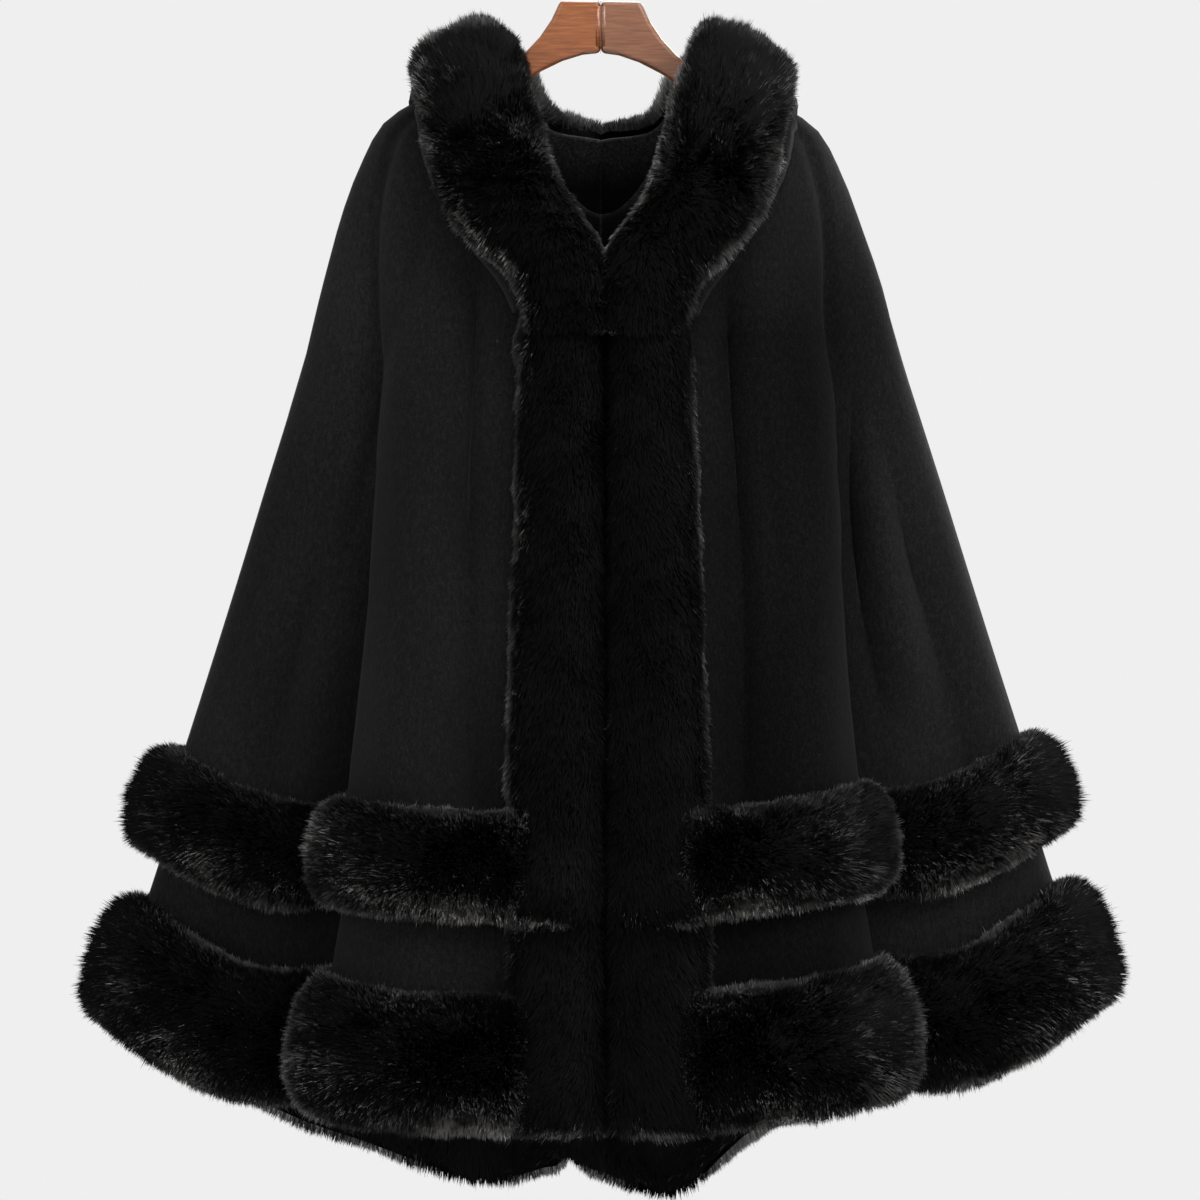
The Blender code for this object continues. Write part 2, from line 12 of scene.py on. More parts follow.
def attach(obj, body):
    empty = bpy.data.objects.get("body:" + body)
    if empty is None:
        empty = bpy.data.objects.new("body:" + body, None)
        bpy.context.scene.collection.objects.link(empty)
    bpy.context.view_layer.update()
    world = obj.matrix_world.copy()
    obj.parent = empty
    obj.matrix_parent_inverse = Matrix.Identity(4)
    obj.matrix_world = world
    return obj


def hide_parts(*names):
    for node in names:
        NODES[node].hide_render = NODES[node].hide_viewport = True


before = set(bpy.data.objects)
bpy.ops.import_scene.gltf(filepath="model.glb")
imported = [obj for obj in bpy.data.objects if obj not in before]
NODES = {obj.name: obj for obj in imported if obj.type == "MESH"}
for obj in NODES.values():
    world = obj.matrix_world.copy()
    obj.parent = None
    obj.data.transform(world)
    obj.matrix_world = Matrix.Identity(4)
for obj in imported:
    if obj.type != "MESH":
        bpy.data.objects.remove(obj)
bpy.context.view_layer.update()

# Cloth and seams: as in the solids, but sewn seams close here
CLOTH = 0.0025
SEAM_GAP = 0.0004
SEWN_GAP = -0.0001
HOOD_SEAM_GAP = -0.0002
LAY_GAP = 0.0008
HOOD_LAY_GAP = 0.0016
TIER_GAP_EDGE = 0.0009
TIER_GAP = 0.0070
TIER_GAP_RUN = 0.10
OPEN_FUR = 0.034
MEET_X = 0.004
SHOULDER_ROUNDING = 0.034
TOP_LEAN = 0.018
LEAN_FROM_Z = -0.60
LEAN_FULL_Z = -0.30

# Fur strips: laid as in the solids, and a little fuller
HEM_BAND_OVER = 0.080
HEM_BAND_UNDER = 0.104
HEM_OVERHANG = 0.010
FRONT_BAND = 0.081
FRONT_BAND_STAND = 0.037
STEP_DROP = 0.003
HEM_SPREAD = 0.16
HOOD_SPREAD = 0.16
REACH_ROUND = 0.88
FUR_ROUND = 0.74
ARC_STEPS = 7
SOFTENINGS = 3
ARC_SOFTENINGS = 2
TIP_RISE = 0.024
TIP_ROUND = 0.008
TIP_SIZES = (0.88, 0.55)
TIP_ON_CLOTH = 0.006
OVER_SECTIONS = 9
UNDER_SECTIONS = 4
SOFT_END_SHARES = ((0.0, 0.45), (0.22, 0.80))
SOFT_END_NEXT = 0.6

# How far a strip runs on into the fur that it meets, and how large it still is there
RUN_ON = 0.016
RUN_ON_HEM = 0.80
RUN_ON_FRONT = 0.88
RUN_ON_THROAT = 0.93
RUN_ON_SPINE = 0.90

# How far the hood's fur reaches past the hood's outer edge on each side, and past its inner edge
HOOD_FUR_OVER = {-1: 0.014, 1: 0.006}
HOOD_FUR_IN = 0.008
FUR_OVER_FROM_Z = -0.30
FUR_OVER_RUN = 0.10
FUR_OVER_BELLY = 3
FUR_OVER_UPRIGHT = 0.75

# Hood, as in the solids
BELLY_FULL = 0.03
BEHIND_FROM_Y = -0.02
BEHIND_RUN = 0.06
NEAR_LIFT = CLOTH + 0.0022
FOLD_LIFT = 0.0018
NECK_SEATED = 0.0009
FAR_LIFT = NEAR_LIFT + FOLD_LIFT + 0.0035
FOLD_REACH = 0.0030
BACK_LIFT = 0.004
POUCH_REACH = 0.04
HOOD_FAR_ROWS = 8
BEHIND_LEAST_Y = -0.2

# How much finer the cloth is than the solids: columns for each step, and spans between the rows
FINE_COLUMNS = 4
FINE_SPANS = (3, 3, 2, 2, 9, 11, 8, 7, 10, 7)
HOOD_COLUMNS = 4
HOOD_SPANS = 18

Fold = namedtuple("Fold", "name neck corner hem over_z bow fur steps")
Hood = namedtuple("Hood", "name seam rim fold lean stand band belly steps")
FOLDS = [
    Fold("left_edge", (.0037, -.066, -.300), (.0037, -.078, -.370), (.0037, -.165, -1.028),
         -.853, 0, .038, 3),
    Fold("left_front", (-.046, -.050, -.222), (-.080, -.047, -.250), (-.105, -.172, -1.028),
         -.853, 0, .040, 3),
    Fold("left_fold", (-.065, -.028, -.164), (-.140, -.027, -.175), (-.214, -.168, -1.022),
         -.848, .018, .044, 2),
    Fold("left_fold_side", (-.072, -.019, -.143), (-.166, -.024, -.183), (-.246, -.124, -1.012),
         -.842, .020, .047, 2),
    Fold("left_hollow", (-.0765, -.0115, -.129), (-.180, -.018, -.1845), (-.194, -.076, -1.005),
         -.838, .004, .011, 4),
    Fold("left_gore", (-.0785, -.007, -.122), (-.187, -.012, -.182), (-.312, -.050, -1.016),
         -.848, .004, .039, 4),
    Fold("left_side", (-.080, 0, -.1201), (-.188, 0, -.1773), (-.428, -.006, -.952),
         -.803, .004, .037, 3),
    Fold("left_blade", (-.0775, .008, -.1226), (-.185, .014, -.1825), (-.385, .075, -.980),
         -.815, 0, .040, 2),
    Fold("left_back_hollow", (-.072, .020, -.146), (-.165, .026, -.192), (-.295, .080, -1.040),
         -.850, 0, .024, 3),
    Fold("left_wing_fold", (-.060, .035, -.178), (-.130, .034, -.194), (-.218, .140, -1.078),
         -.868, 0, .038, 3),
    Fold("left_back_fold", (-.036, .053, -.218), (-.070, .050, -.235), (-.098, .164, -1.117),
         -.892, 0, .042, 3),
    Fold("centre_back", (-.005, .062, -.250), (-.010, .072, -.320), (-.027, .130, -1.098),
         -.885, 0, .030, 3),
    Fold("right_back_fold", (.025, .058, -.235), (.055, .055, -.250), (.060, .160, -1.128),
         -.895, 0, .042, 3),
    Fold("right_spine_hollow", (.045, .046, -.205), (.095, .042, -.215), (.135, .098, -1.065),
         -.870, 0, .022, 3),
    Fold("right_wing_fold", (.060, .035, -.178), (.135, .034, -.194), (.215, .150, -1.038),
         -.860, 0, .040, 3),
    Fold("right_back_hollow", (.072, .020, -.146), (.165, .026, -.192), (.290, .080, -1.005),
         -.835, 0, .024, 2),
    Fold("right_blade", (.0775, .008, -.1226), (.185, .014, -.1825), (.388, .072, -.968),
         -.808, 0, .040, 3),
    Fold("right_side", (.080, 0, -.1201), (.188, 0, -.1773), (.428, -.006, -.938),
         -.790, .004, .040, 4),
    Fold("right_gore", (.0785, -.007, -.122), (.187, -.012, -.182), (.316, -.050, -1.004),
         -.836, .004, .039, 4),
    Fold("right_hollow", (.0765, -.0115, -.129), (.180, -.018, -.1845), (.198, -.076, -.993),
         -.826, .004, .011, 2),
    Fold("right_fold_side", (.072, -.019, -.143), (.166, -.024, -.183), (.250, -.124, -1.0),
         -.830, .020, .050, 2),
    Fold("right_fold", (.065, -.028, -.164), (.140, -.027, -.175), (.218, -.168, -1.010),
         -.838, .018, .044, 3),
    Fold("right_front", (.050, -.050, -.222), (.085, -.047, -.250), (.109, -.172, -1.024),
         -.850, 0, .040, 3),
    Fold("right_edge", (.0043, -.066, -.300), (.0043, -.078, -.370), (.0043, -.165, -1.028),
         -.853, 0, .038, 0),
]
HOOD = [
    Hood("throat", (0, -.078, -.345), (0, -.078, -.345), (.075, -.076, -.345),
         (0, -1, 0), .033, .070, 0, 2),
    Hood("vee", (.003, -.070, -.305), (.003, -.070, -.305), (.083, -.071, -.326),
         (.05, -1, 0), .035, .074, 0, 3),
    Hood("chest", (.036, -.055, -.250), (.035, -.055, -.250), (.125, -.052, -.270),
         (.15, -1, .15), .038, .086, 0, 3),
    Hood("collar", (.062, -.033, -.182), (.060, -.033, -.180), (.152, -.031, -.213),
         (.15, -.8, .5), .037, .088, 0, 5),
    Hood("before_arm", (.078, -.011, -.125), (.076, -.011, -.121), (.159, -.013, -.166),
         (.45, -.3, 1), .033, .085, 0, 3),
    Hood("arm", (.080, 0, -.118), (.076, 0, -.111), (.161, 0, -.159),
         (.50, 0, 1), .032, .085, 0, 3),
    Hood("behind_arm", (.077, .011, -.128), (.075, .014, -.118), (.163, .015, -.169),
         (.45, .20, 1), .034, .086, .002, 5),
    Hood("nape", (.068, .024, -.155), (.065, .048, -.142), (.168, .060, -.245),
         (.10, .55, .85), .044, .088, .010, 3),
    Hood("blade", (.045, .047, -.208), (.048, .084, -.168), (.142, .092, -.385),
         (.06, .80, .70), .046, .086, .030, 3),
    Hood("spine", (0, .060, -.250), (0, .110, -.176), (0, .120, -.500),
         (0, 1, .25), .042, .084, .045, 0),
]
ROWS = ["neck", "yoke", "round_in", "round_mid", "round_out", "chest", "waist", "over_band", "over_hem",
        "under_band", "under_hem"]
CHEST_SHARE = 0.33
WAIST_SHARE = 0.70

# Soft creases of the cloth. face is the side they are on (-1 front, 1 back), top and low are the x and z
# where a crease starts and ends, width its half width, and depth how far it stands out (below 0, in).
Crease = namedtuple("Crease", "face top low width depth")
CREASES = [
    Crease(-1, (-.165, -.30), (-.160, -.78), .024, .0066),
    Crease(-1, (-.112, -.27), (-.106, -.80), .017, -.0066),
    Crease(-1, (-.205, -.28), (-.262, -.80), .022, .0040),
    Crease(-1, (-.150, -.24), (-.232, -.62), .012, -.0030),
    Crease(-1, (-.195, -.36), (-.300, -.76), .016, -.0032),
    Crease(-1, (-.235, -.50), (-.352, -.86), .020, .0036),
    Crease(-1, (.172, -.32), (.182, -.80), .024, .0076),
    Crease(-1, (.114, -.28), (.118, -.80), .019, -.0080),
    Crease(-1, (.140, -.42), (.158, -.78), .010, -.0028),
    Crease(-1, (.232, -.42), (.268, -.68), .012, .0052),
    Crease(-1, (.212, -.38), (.240, -.70), .012, -.0045),
    Crease(-1, (.255, -.48), (.330, -.80), .020, -.0036),
    Crease(-1, (.215, -.24), (.360, -.80), .022, .0036),
    Crease(-1, (-.330, -.86), (-.350, -1.00), .020, -.0040),
    Crease(-1, (.335, -.84), (.360, -.98), .020, -.0040),
    Crease(1, (-.060, -.52), (-.075, -1.05), .022, -.0040),
    Crease(1, (-.105, -.40), (-.155, -1.02), .020, .0040),
    Crease(1, (-.170, -.34), (-.262, -.98), .018, -.0040),
    Crease(1, (-.215, -.32), (-.330, -.92), .022, .0040),
    Crease(1, (.020, -.55), (.024, -1.05), .020, -.0036),
    Crease(1, (.085, -.46), (.098, -1.04), .018, .0040),
    Crease(1, (.128, -.36), (.182, -1.00), .020, -.0042),
    Crease(1, (.190, -.34), (.280, -.95), .022, .0042),
    Crease(1, (.230, -.38), (.345, -.90), .016, -.0034),
]
CREASE_FADE = 0.10
CREASE_SCALE = 1.8
CREASE_SWAY = 0.006
SOFT_TOP_ROUNDS = 40
SOFT_TOP_Z = -0.26
SOFT_LOW_Z = -0.52


# Curves and grids

def smooth_through(knots, values, at):
    """Values of a smooth curve through the knots, at the asked places."""
    knots = np.asarray(knots, float)
    values = np.asarray(values, float)
    span = np.diff(knots)
    slope = np.diff(values, axis=0) / span[:, None]
    tangent = np.empty_like(values)
    tangent[0] = slope[0]
    tangent[-1] = slope[-1]
    weight = (span[1:] / (span[:-1] + span[1:]))[:, None]
    tangent[1:-1] = slope[:-1] * weight + slope[1:] * (1 - weight)
    index = np.clip(np.searchsorted(knots, at, side="right") - 1, 0, len(span) - 1)
    width = span[index][:, None]
    t = ((at - knots[index]) / span[index])[:, None]
    return (values[index] * (2 * t**3 - 3 * t**2 + 1) + tangent[index] * width * (t**3 - 2 * t**2 + t)
            + values[index + 1] * (3 * t**2 - 2 * t**3) + tangent[index + 1] * width * (t**3 - t**2))


def between(values, spans):
    """The values with each span cut into as many equal parts as asked."""
    cut = [np.linspace(a, b, n, endpoint=False) for a, b, n in zip(values[:-1], values[1:], spans)]
    return np.concatenate(cut + [values[-1:]])


def stations(rows, places, finer=1):
    places = np.asarray(places, float)
    knots = np.concatenate([[0], np.cumsum(np.linalg.norm(np.diff(places, axis=0), axis=1))])
    return knots, between(knots, [row.steps * finer for row in rows[:-1]])


def unit(vectors):
    return vectors / np.maximum(np.linalg.norm(vectors, axis=-1, keepdims=True), 1e-12)


def grid_normals(grid):
    face = unit(np.cross(grid[1:, 1:] - grid[:-1, :-1], grid[:-1, 1:] - grid[1:, :-1]))
    total = np.zeros_like(grid)
    for across in (0, 1):
        for along in (0, 1):
            total[across:len(grid) - 1 + across, along:grid.shape[1] - 1 + along] += face
    return unit(total)


def ease(value):
    value = np.clip(value, 0, 1)
    return value * value * (3 - 2 * value)


def leaned(points):
    """The top of the cape and its hanger hang a little lower on the right."""
    points = np.array(points, float)
    share = ease((points[..., 2] - LEAN_FROM_Z) / (LEAN_FULL_Z - LEAN_FROM_Z))
    points[..., 2] -= TOP_LEAN * points[..., 0] * share
    return points


def refined(grid, finer_u, finer_v):
    """A grid of points with each span cut finer both ways, on smooth curves."""
    for finer in (finer_u, finer_v):
        step = np.linalg.norm(np.diff(grid, axis=0), axis=2).mean(axis=1)
        knots = np.concatenate([[0], np.cumsum(np.maximum(step, 1e-5))])
        at = between(knots, [finer] * (len(knots) - 1))
        flat = smooth_through(knots, grid.reshape(len(grid), -1), at)
        grid = flat.reshape(len(at), grid.shape[1], 3).swapaxes(0, 1)
    return grid


def waves(points, size, seed, count=7):
    """Smooth noise of about -1 to 1 over places in space."""
    rng = np.random.default_rng(seed)
    total = np.zeros(points.shape[:-1])
    for _ in range(count):
        way = unit(rng.normal(size=3)) / (size * rng.uniform(0.7, 1.6))
        total += np.sin(points @ way * 2 * math.pi + rng.uniform(0, 2 * math.pi))
    return total / math.sqrt(count)


# Objects

looks = bpy.data.collections.new("looks")
bpy.context.scene.collection.children.link(looks)


def mesh_object(name, points, faces_by_size, materials, face_material=None, uv=None, shading=None):
    """A mesh from arrays: faces_by_size is a list of (count, corners) arrays of point numbers."""
    mesh = bpy.data.meshes.new(name)
    loops = np.concatenate([f.ravel() for f in faces_by_size])
    totals = np.concatenate([np.full(len(f), f.shape[1]) for f in faces_by_size])
    starts = np.concatenate([[0], np.cumsum(totals)[:-1]])
    mesh.vertices.add(len(points))
    mesh.vertices.foreach_set("co", np.asarray(points, np.float32).ravel())
    mesh.loops.add(len(loops))
    mesh.loops.foreach_set("vertex_index", loops.astype(np.int32))
    mesh.polygons.add(len(totals))
    mesh.polygons.foreach_set("loop_start", starts.astype(np.int32))
    if face_material is not None:
        mesh.polygons.foreach_set("material_index", face_material.astype(np.int32))
    if uv is not None:
        layer = mesh.uv_layers.new(name="UVMap")
        layer.data.foreach_set("uv", uv[loops].astype(np.float32).ravel())
    mesh.update(calc_edges=True)
    mesh.validate()
    mesh.shade_smooth()
    if shading is not None:
        custom = mesh.attributes.new("custom_normal", "FLOAT_VECTOR", "POINT")
        custom.data.foreach_set("vector", shading.astype(np.float32).ravel())
    for material in materials:
        mesh.materials.append(material)
    obj = bpy.data.objects.new(name, mesh)
    looks.objects.link(obj)
    return obj


def grid_faces(columns, rows):
    i, j = np.meshgrid(np.arange(columns - 1), np.arange(rows - 1), indexing="ij")
    a = (i * rows + j).ravel()
    return np.stack([a, a + rows, a + rows + 1, a + 1], axis=1)


def stands_for(obj, node):
    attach(obj, "root")
    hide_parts(node)
    return obj


def add_wall(name, grid):
    """A cloth shell that grows outward from the grid of its inner face."""
    faces = grid_faces(*grid.shape[:2])
    obj = mesh_object(name + "_cloth", leaned(grid).reshape(-1, 3), [faces], [WOOL])
    solid = obj.modifiers.new("Wall", "SOLIDIFY")
    solid.thickness = CLOTH
    solid.offset = 1
    return stands_for(obj, name)


# Cape cloth

def cape_grid(finer):
    """Inner face of the under tier, its fur thickness and the station numbers of the rows of FOLDS."""
    hems = np.array([fold.hem for fold in FOLDS])
    knots, at = stations(FOLDS, hems, finer)
    neck = smooth_through(knots, [fold.neck for fold in FOLDS], at)
    corner = smooth_through(knots, [fold.corner for fold in FOLDS], at)
    hem = smooth_through(knots, hems, at)
    extra = smooth_through(knots, [(fold.over_z, fold.bow, fold.fur) for fold in FOLDS], at)
    grid = np.array([cloth_line(*each) for each in zip(neck, corner, hem, extra)])
    first = np.cumsum([0] + [fold.steps * finer for fold in FOLDS[:-1]])
    return grid, extra[:, 2], dict(zip([fold.name for fold in FOLDS], first))


def cloth_line(neck, corner, hem, extra):
    """One line of the cape from neck to hem, turning down at the shoulder."""
    over_z, bow, _ = extra
    up = neck - corner
    down = hem - corner
    start = corner + up * min(SHOULDER_ROUNDING / np.linalg.norm(up), 0.45)
    end = corner + down / np.linalg.norm(down) * min(SHOULDER_ROUNDING, 0.45 * np.linalg.norm(up))
    middle = (start + 2 * corner + end) / 4
    fall = hem - end
    inward = np.array([-math.copysign(bow, hem[0]), 0, 0])
    over = (over_z - end[2]) / fall[2]
    length = np.linalg.norm(fall)
    shares = [CHEST_SHARE * over, WAIST_SHARE * over, over - HEM_BAND_OVER / length, over,
              1 - HEM_BAND_UNDER / length, 1]
    line = [neck, (neck + start) / 2, start, middle, end]
    line += [end + fall * share + inward * math.sin(math.pi * share) for share in shares]
    return np.array(line)


def finer_lines(grid):
    """The cloth's lines on smooth curves, with FINE_SPANS between the named rows."""
    lines = []
    for line in grid:
        knots = np.concatenate([[0], np.cumsum(np.linalg.norm(np.diff(line, axis=0), axis=1))])
        lines.append(smooth_through(knots, line, between(knots, FINE_SPANS)))
    return np.array(lines)


def creased(grid, outward):
    """The grid with the soft creases pressed into it."""
    move = np.zeros(grid.shape[:2])
    x, y, z = grid[..., 0], grid[..., 1], grid[..., 2]
    for crease in CREASES:
        (top_x, top_z), (low_x, low_z) = crease.top, crease.low
        share = (z - top_z) / (low_z - top_z)
        line = top_x + (low_x - top_x) * share
        line = line + CREASE_SWAY * np.sin(share * 5 + top_x * 40)
        spread = crease.width * (0.7 + 0.5 * np.clip(share, 0, 1))
        faded = ease((top_z - z) / CREASE_FADE) * ease((z - low_z) / CREASE_FADE + 0.4)
        facing = ease(crease.face * outward[..., 1] * 3)
        move += CREASE_SCALE * crease.depth * np.exp(-((x - line) / spread) ** 2) * faded * facing
    return grid + outward * move[..., None]


def softened_top(grid):
    """The folds smoothed out near the shoulder, where the cloth lies over the hanger."""
    for _ in range(SOFT_TOP_ROUNDS):
        share = ease((grid[1:-1, :, 2] - SOFT_LOW_Z) / (SOFT_TOP_Z - SOFT_LOW_Z))[..., None] * 0.5
        grid[1:-1] += ((grid[:-2] + grid[2:]) / 2 - grid[1:-1]) * share
    return grid


def over_grid(under, outward, fur, rows):
    """Inner face of the over tier: the under tier's points moved out, less where it folds in."""
    inner = under[:, :rows]
    across = np.linalg.norm(np.diff(inner[:, -1], axis=0), axis=1)
    from_left = np.concatenate([[0], np.cumsum(across)])
    from_edge = np.minimum(from_left, from_left[-1] - from_left)
    fallen = np.linalg.norm(inner - inner[:, :1], axis=2) / TIER_GAP_RUN
    open_cloth = ease(from_edge / TIER_GAP_RUN) * np.minimum(fur / OPEN_FUR, 1)
    room = open_cloth[:, None] * ease(fallen - 0.5)
    lift = CLOTH + TIER_GAP_EDGE + (TIER_GAP - TIER_GAP_EDGE) * room
    return inner + outward[:, :rows] * lift[..., None]


def panel(grid, first, last):
    """The columns of one panel, let out a little at both sides so that the sewn seams close."""
    part = grid[first:last + 1].copy()
    for edge, neighbour in ((0, 1), (-1, -2)):
        part[edge] += unit(part[neighbour] - part[edge]) * SEWN_GAP
    return part


# Fur strips, first as the solids' sections

def roll_section(base, out, stand, spread):
    """Base points along the cloth, then an arc of fur back over them."""
    base = np.asarray(base)
    middle = (base[0] + base[-1]) / 2
    half = (base[-1] - base[0]) / 2
    arc = []
    for step in range(1, ARC_STEPS):
        angle = math.pi * step / ARC_STEPS
        reach = math.copysign(abs(math.cos(angle)) ** REACH_ROUND, math.cos(angle))
        reach *= 1 + spread * math.sin(angle)
        arc.append(middle + half * reach + out * stand * math.sin(angle) ** FUR_ROUND)
    return np.vstack([base, arc])


def hem_roll(grid, outward, band_row, hem_row, fur, first, last, ends):
    """Sections of a hem fur from column to column; ends says how each end closes, and by which band."""
    band = grid[first:last + 1, band_row]
    hem = grid[first:last + 1, hem_row]
    out = outward[first:last + 1, hem_row]
    stand = fur[first:last + 1].copy()
    rise = unit(band - hem)
    top = band + out * (CLOTH + LAY_GAP)
    low = hem + out * (CLOTH + LAY_GAP) - rise * HEM_OVERHANG
    soft = out.copy()
    for _ in range(SOFTENINGS):
        soft[1:-1] = unit(soft[:-2] + 2 * soft[1:-1] + soft[2:])
    sections = np.array([roll_section([top[i], low[i]], soft[i], stand[i], HEM_SPREAD)
                         for i in range(len(top))])
    for _ in range(ARC_SOFTENINGS):
        sections[1:-1, 2:] = (sections[:-2, 2:] + 2 * sections[1:-1, 2:] + sections[2:, 2:]) / 4
    sections = list(sections)
    for end, (kind, side) in zip((0, -1), ends):
        if kind == "round":
            sections = rounded_end(sections, end)
        if kind == "under":
            sections = cut_at_x(sections, MEET_X + side * (FRONT_BAND + SEAM_GAP), end)
            sections = run_on(np.array(sections), end, RUN_ON_HEM)
    return np.array(sections)


def cut_at_x(sections, limit, end):
    """Drops the sections past a plane of constant x, and ends on that plane."""
    ordered = sections if end == 0 else sections[::-1]
    side = math.copysign(1, limit)
    while np.all(ordered[1][:, 0] * side < limit * side):
        ordered = ordered[1:]
    head, following = ordered[0], ordered[1]
    share = (limit - head[:, 0]) / (following[:, 0] - head[:, 0])
    ordered = [head + (following - head) * share[:, None]] + list(ordered[1:])
    return ordered if end == 0 else ordered[::-1]


def rounded_end(sections, end):
    """Closes a strip with a soft end: two smaller sections near the last one."""
    ordered = sections if end == 0 else sections[::-1]
    head, following = ordered[0], ordered[1]
    blunt = []
    for share, size in SOFT_END_SHARES:
        section = head + (following - head) * share
        centre = (section[0] + section[1]) / 2
        blunt.append(centre + (section - centre) * size)
    ordered = blunt + [head + (following - head) * SOFT_END_NEXT] + list(ordered[1:])
    return ordered if end == 0 else ordered[::-1]


def run_on(sections, end, size):
    """A strip that runs on a little past one end, into the fur that it meets there."""
    ordered = sections if end == 0 else sections[::-1]
    away = unit((ordered[0] - ordered[1]).mean(axis=0)) * RUN_ON
    centre = (ordered[0, 0] + ordered[0, -1]) / 2
    ordered = np.concatenate([[centre + (ordered[0] - centre) * size + away], ordered])
    return ordered if end == 0 else ordered[::-1]


class Laid:
    """Finds places on the outer face of a cloth grid."""

    def __init__(self, grid):
        faces = grid_faces(*grid.shape[:2]).tolist()
        self.tree = BVHTree.FromPolygons([Vector(p) for p in grid.reshape(-1, 3)], faces)

    def on(self, point, lift):
        place, normal, _, _ = self.tree.find_nearest(Vector(point))
        return np.array(place + normal * lift)

    def behind(self, point, lift):
        """The place on the cloth straight behind a point, seen from the front."""
        place, normal, _, _ = self.tree.ray_cast(Vector(point), Vector((0, 1, 0)))
        if place is None or normal.y > BEHIND_LEAST_Y:
            return self.on(point, lift)
        return np.array(place + normal * lift)

    def clear(self, point, lift):
        place, normal, _, distance = self.tree.find_nearest(Vector(point))
        height = (Vector(point) - place).dot(normal)
        if height < lift and distance < POUCH_REACH:
            return np.array(place + normal * lift)
        return np.array(point, float)


def front_roll(side, over, under):
    """Sections of the band down one front edge, from below the throat to the hem."""
    top_z = HOOD[0].rim[2] - SEAM_GAP
    over_hem_z = FOLDS[0].over_z
    low_z = FOLDS[0].hem[2] - HEM_OVERHANG
    on_over = np.linspace(top_z, over_hem_z - STEP_DROP, OVER_SECTIONS)
    on_under = np.linspace(over_hem_z - 3 * STEP_DROP, low_z + TIP_RISE, UNDER_SECTIONS)
    heights = np.concatenate([on_over, on_under, [low_z + TIP_ROUND, low_z]])
    sizes = np.ones(len(heights))
    sizes[-2:] = TIP_SIZES
    inner = MEET_X + side * SEAM_GAP
    sections = []
    for z, size in zip(heights, sizes):
        cloth = over if z > over_hem_z - 2 * STEP_DROP else under
        reached = max(z, FOLDS[0].hem[2] + TIP_ON_CLOTH)
        outer = MEET_X + side * np.interp(-z, *FRONT_WIDTHS[side])
        base = []
        for share in (0, 0.5, 1):
            place = cloth.behind((inner + (outer - inner) * share, -0.3, reached), LAY_GAP)
            place[0] = inner + (outer - inner) * share
            place[2] = z
            base.append(place)
        sections.append(roll_section(base, np.array([0, -1, 0]), FRONT_BAND_STAND * size, 0))
    return np.array(sections)


# Width of the front bands by depth below the hook: depths, then widths
FRONT_WIDTHS = {
    -1: ((.34, .42, .52, .64, .70, .88, .93, 1.04), (.074, .077, .078, .082, .085, .084, .081, .080)),
    1: ((.34, .38, .46, .54, .64, .74, .82, 1.04), (.070, .074, .078, .082, .085, .088, .090, .088)),
}


# Hood

def hood_grid(side, cape):
    """Inside face of one half of the hood, and where its fur stands on it."""
    signs = np.array([side, 1, 1])
    shift = np.array([MEET_X, 0, 0])
    knots, at = stations(HOOD, [row.fold for row in HOOD], HOOD_COLUMNS)
    seam, rim, fold, lean = (smooth_through(knots, [getattr(row, key) for row in HOOD], at) * signs
                             for key in ("seam", "rim", "fold", "lean"))
    extra = smooth_through(knots, [(row.stand, row.band, row.belly) for row in HOOD], at)
    behind = ease((seam[:, 1] - BEHIND_FROM_Y) / BEHIND_RUN)
    middle = shift * (1 - behind[:, None]) + np.array([side * HOOD_SEAM_GAP, 0, 0])
    seam, rim, fold = seam + middle, rim + middle, fold + middle
    each = zip(seam, rim, fold, unit(lean), extra[:, 1], extra[:, 2])
    lines = [hood_line(*row, cape) for row in each]
    return np.array(lines), unit(lean), extra[:, 0], extra[:, 2]


def hood_line(seam, rim, fold, lean, band, belly, cape):
    """One line of the hood: out from the neck seam over the cape, round the fold and back to the rim."""
    free = BACK_LIFT * ease(belly / BELLY_FULL)
    near = []
    for share in np.linspace(0, 1, HOOD_SPANS):
        lift = NEAR_LIFT + FOLD_LIFT * share + free * 4 * share * (1 - share)
        if share == 0:
            lift -= NECK_SEATED
        near.append(cape.on(seam + (fold - seam) * share, lift))
    outward = unit(fold - seam)
    turn = cape.on(fold, (NEAR_LIFT + FAR_LIFT) / 2) + outward * FOLD_REACH
    length = np.linalg.norm(fold - rim)
    reaches = list(np.linspace(length, band, HOOD_FAR_ROWS, endpoint=False))
    reaches += list(np.linspace(band, 0, 3 * HOOD_FAR_ROWS + 1))
    far = []
    for reach in reaches:
        share = reach / length
        place = rim + (fold - rim) * share + lean * belly * 4 * share * (1 - share)
        far.append(cape.clear(place, FAR_LIFT))
    return np.array(near + [turn] + far)


